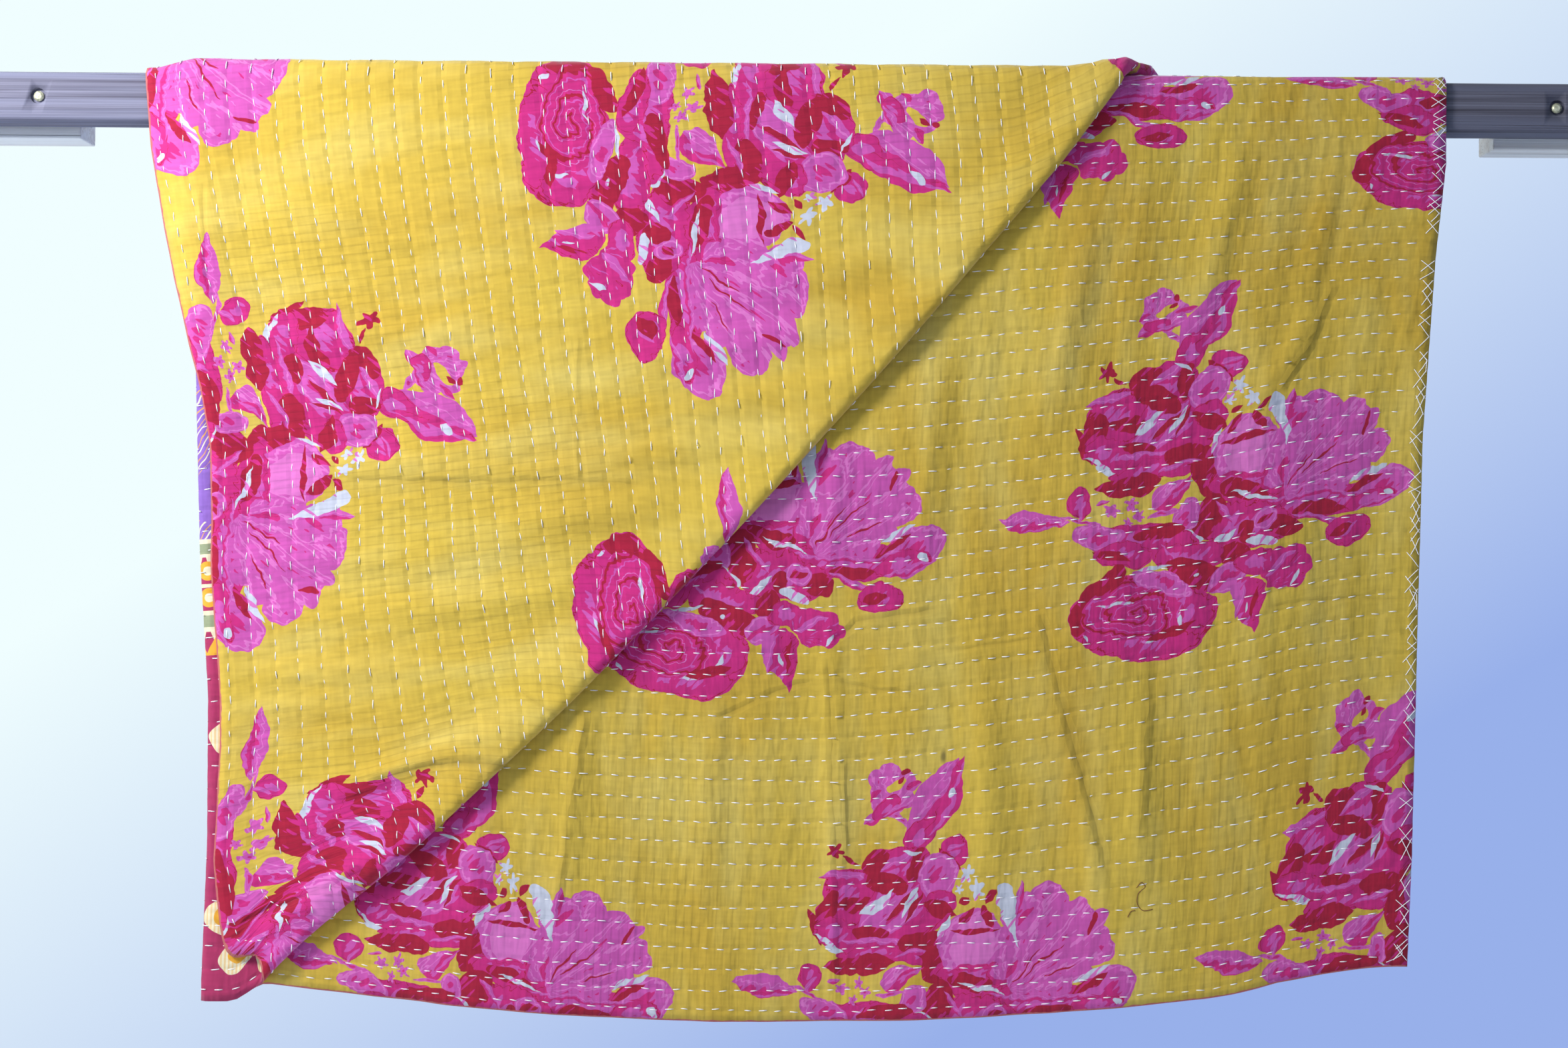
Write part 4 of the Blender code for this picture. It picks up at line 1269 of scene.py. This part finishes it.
def makeRail(material):
    look = (rail["edge"], rail["wear"], rail["steps"], material, "rail wood", 2.0)
    obj = timber("rail_timber", railLow, railHigh, *look)
    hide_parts("rail")
    for name in ("rail_bolt_left", "rail_bolt_right"):
        low, high = (Vector(corner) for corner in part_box(name))
        made = bmesh.new()
        bmesh.ops.create_cone(
            made,
            cap_ends=True,
            segments=32,
            radius1=rail["sink"],
            radius2=rail["sink"],
            depth=2 * rail["sinkDepth"],
        )
        bmesh.ops.rotate(made, verts=made.verts, matrix=Matrix.Rotation(math.pi / 2, 3, "X"))
        middle = ((low.x + high.x) / 2, railLow.y, (low.z + high.z) / 2)
        bmesh.ops.translate(made, verts=made.verts, vec=middle)
        mesh = bpy.data.meshes.new(name + "_sink")
        made.to_mesh(mesh)
        made.free()
        cutter = bpy.data.objects.new(name + "_sink", mesh)
        bpy.context.scene.collection.objects.link(cutter)
        hole = obj.modifiers.new(name, "BOOLEAN")
        hole.object = cutter
        hole.solver = "EXACT"
        bpy.context.view_layer.update()
        graph = bpy.context.evaluated_depsgraph_get()
        cutMesh = bpy.data.meshes.new_from_object(obj.evaluated_get(graph))
        obj.modifiers.clear()
        obj.data = cutMesh
        bpy.data.objects.remove(cutter)
    return obj


def makeBlocks(material):
    for side in ("left", "right"):
        node = "wall_block_" + side
        low, high = (Vector(corner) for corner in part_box(node))
        obj = timber(node + "_wood", low, high, 0.0015, 0.0002, 12, material, "block wood", 5.0)
        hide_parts(node)


# ---- the floor, lights and camera

studio = {
    "floor": paint(240, 245, 252),
    "floorSize": 1.9,
    "floorDrop": 1.30,
    # from the left and above, from the right and below
    "world": (paint(240, 254, 255), paint(152, 176, 234)),
    "roomSide": 0.57,  # how bright the side behind the viewer is
    "key": (-1.35, -1.05, 0.50, 0.5, 50),  # x, y, z from the rail's middle, size, watts
    "fill": (1.8, -2.6, 0.2, 2.0, 3),
    "rim": (-0.6, 2.2, 1.0, 1.8, 16),
    "distance": 2.2,
    "eye": (0.0, -0.3686),  # the lens's place from the rail's middle, across and up
    "frameWidth": 1.361,
    "roll": math.radians(0.457),
}


def areaLight(name, settings):
    x, y, z, size, power = settings
    light = bpy.data.lights.new(name, "AREA")
    light.energy = power
    light.size = size
    obj = bpy.data.objects.new(name, light)
    obj.location = railMiddle + Vector((x, y, z))
    towards = railMiddle - Vector((0, 0, 0.4)) - obj.location
    obj.rotation_euler = towards.to_track_quat("-Z", "Y").to_euler()
    bpy.context.scene.collection.objects.link(obj)


def makeStudio():
    made = bmesh.new()
    bmesh.ops.create_grid(made, x_segments=2, y_segments=2, size=studio["floorSize"])
    mesh = bpy.data.meshes.new("floor")
    made.to_mesh(mesh)
    made.free()
    dye = Dye("pale_floor")
    place = dye.node("TexCoord", None, None, 3)
    tone = dye.mix(dye.speckle(place, 3, 3) * 0.15, studio["floor"], paint(204, 212, 232))
    dye.set(Base_Color=tone, Roughness=0.95)
    mesh.materials.append(dye.material)
    floor = bpy.data.objects.new("floor", mesh)
    floor.location = (railMiddle.x, 0, railMiddle.z - studio["floorDrop"])
    bpy.context.scene.collection.objects.link(floor)
    for name in ("key", "fill", "rim"):
        areaLight(name, studio[name])
    world = bpy.data.worlds.new("pale_room")
    world.use_nodes = True
    dye = Dye("pale_room", world.node_tree)
    x, y, z = dye.split(dye.node("TexCoord"), 3)
    share = dye.spread(x + z * -1.5, -0.22, 0.36)
    bright = dye.spread(y, -0.3, 0.6, (studio["roomSide"], 1))
    glow = world.node_tree.nodes["Background"]
    world.node_tree.links.new(dye.mix(share, *studio["world"]).out, glow.inputs[0])
    world.node_tree.links.new(bright.out, glow.inputs[1])
    bpy.context.scene.world = world
    bpy.context.scene.view_settings.view_transform = "Standard"


def makeCamera():
    lens = bpy.data.cameras.new("camera")
    lens.sensor_width = 36
    plane = railLow.y - 0.012  # the quilt's front
    lens.lens = 36 * studio["distance"] / studio["frameWidth"]
    lens.clip_start = 0.05
    obj = bpy.data.objects.new("camera", lens)
    across, above = studio["eye"]
    obj.location = (railMiddle.x + across, plane - studio["distance"], railMiddle.z + above)
    obj.rotation_euler = (math.pi / 2, -studio["roll"], 0)
    bpy.context.scene.collection.objects.link(obj)
    bpy.context.scene.camera = obj


makeCamera()
makeStudio()
print("camera, floor and lights")
threadWhite = threadMaterial("stitch_thread", paint(206, 206, 214), paint(232, 230, 234))
threadBrown = threadMaterial("loose_brown_thread", paint(84, 44, 24), paint(120, 66, 34))
quilt = makeCloth(printedFace(), sariFace())
print("cloth", len(quilt.data.polygons), "faces a side")
stitches = makeRunningStitches(threadWhite) + [makeEdgeStitches(threadWhite)]
stitches += makeLooseThreads({"brown": threadBrown, "white": threadWhite})
print("stitches", sum(len(piece.data.polygons) for piece in stitches), "faces")
railTones = (paint(128, 128, 150), paint(60, 56, 72), paint(112, 114, 138))
blockTones = (paint(236, 236, 236), paint(196, 190, 190), paint(226, 228, 232))
# the last three numbers: where the painted shade towards the right starts and ends along X, and how dark it
# ends
makeRail(woodMaterial("rail_wood", *railTones, (0.2, 1.2, 0.52)))
makeBlocks(woodMaterial("block_wood", *blockTones, (0.2, 1.2, 0.8)))
boltMetal = boltMaterial()
for name in ("rail_bolt_left", "rail_bolt_right"):
    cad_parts[name].material_slots[0].material = boltMetal
print("rail, blocks and bolts")
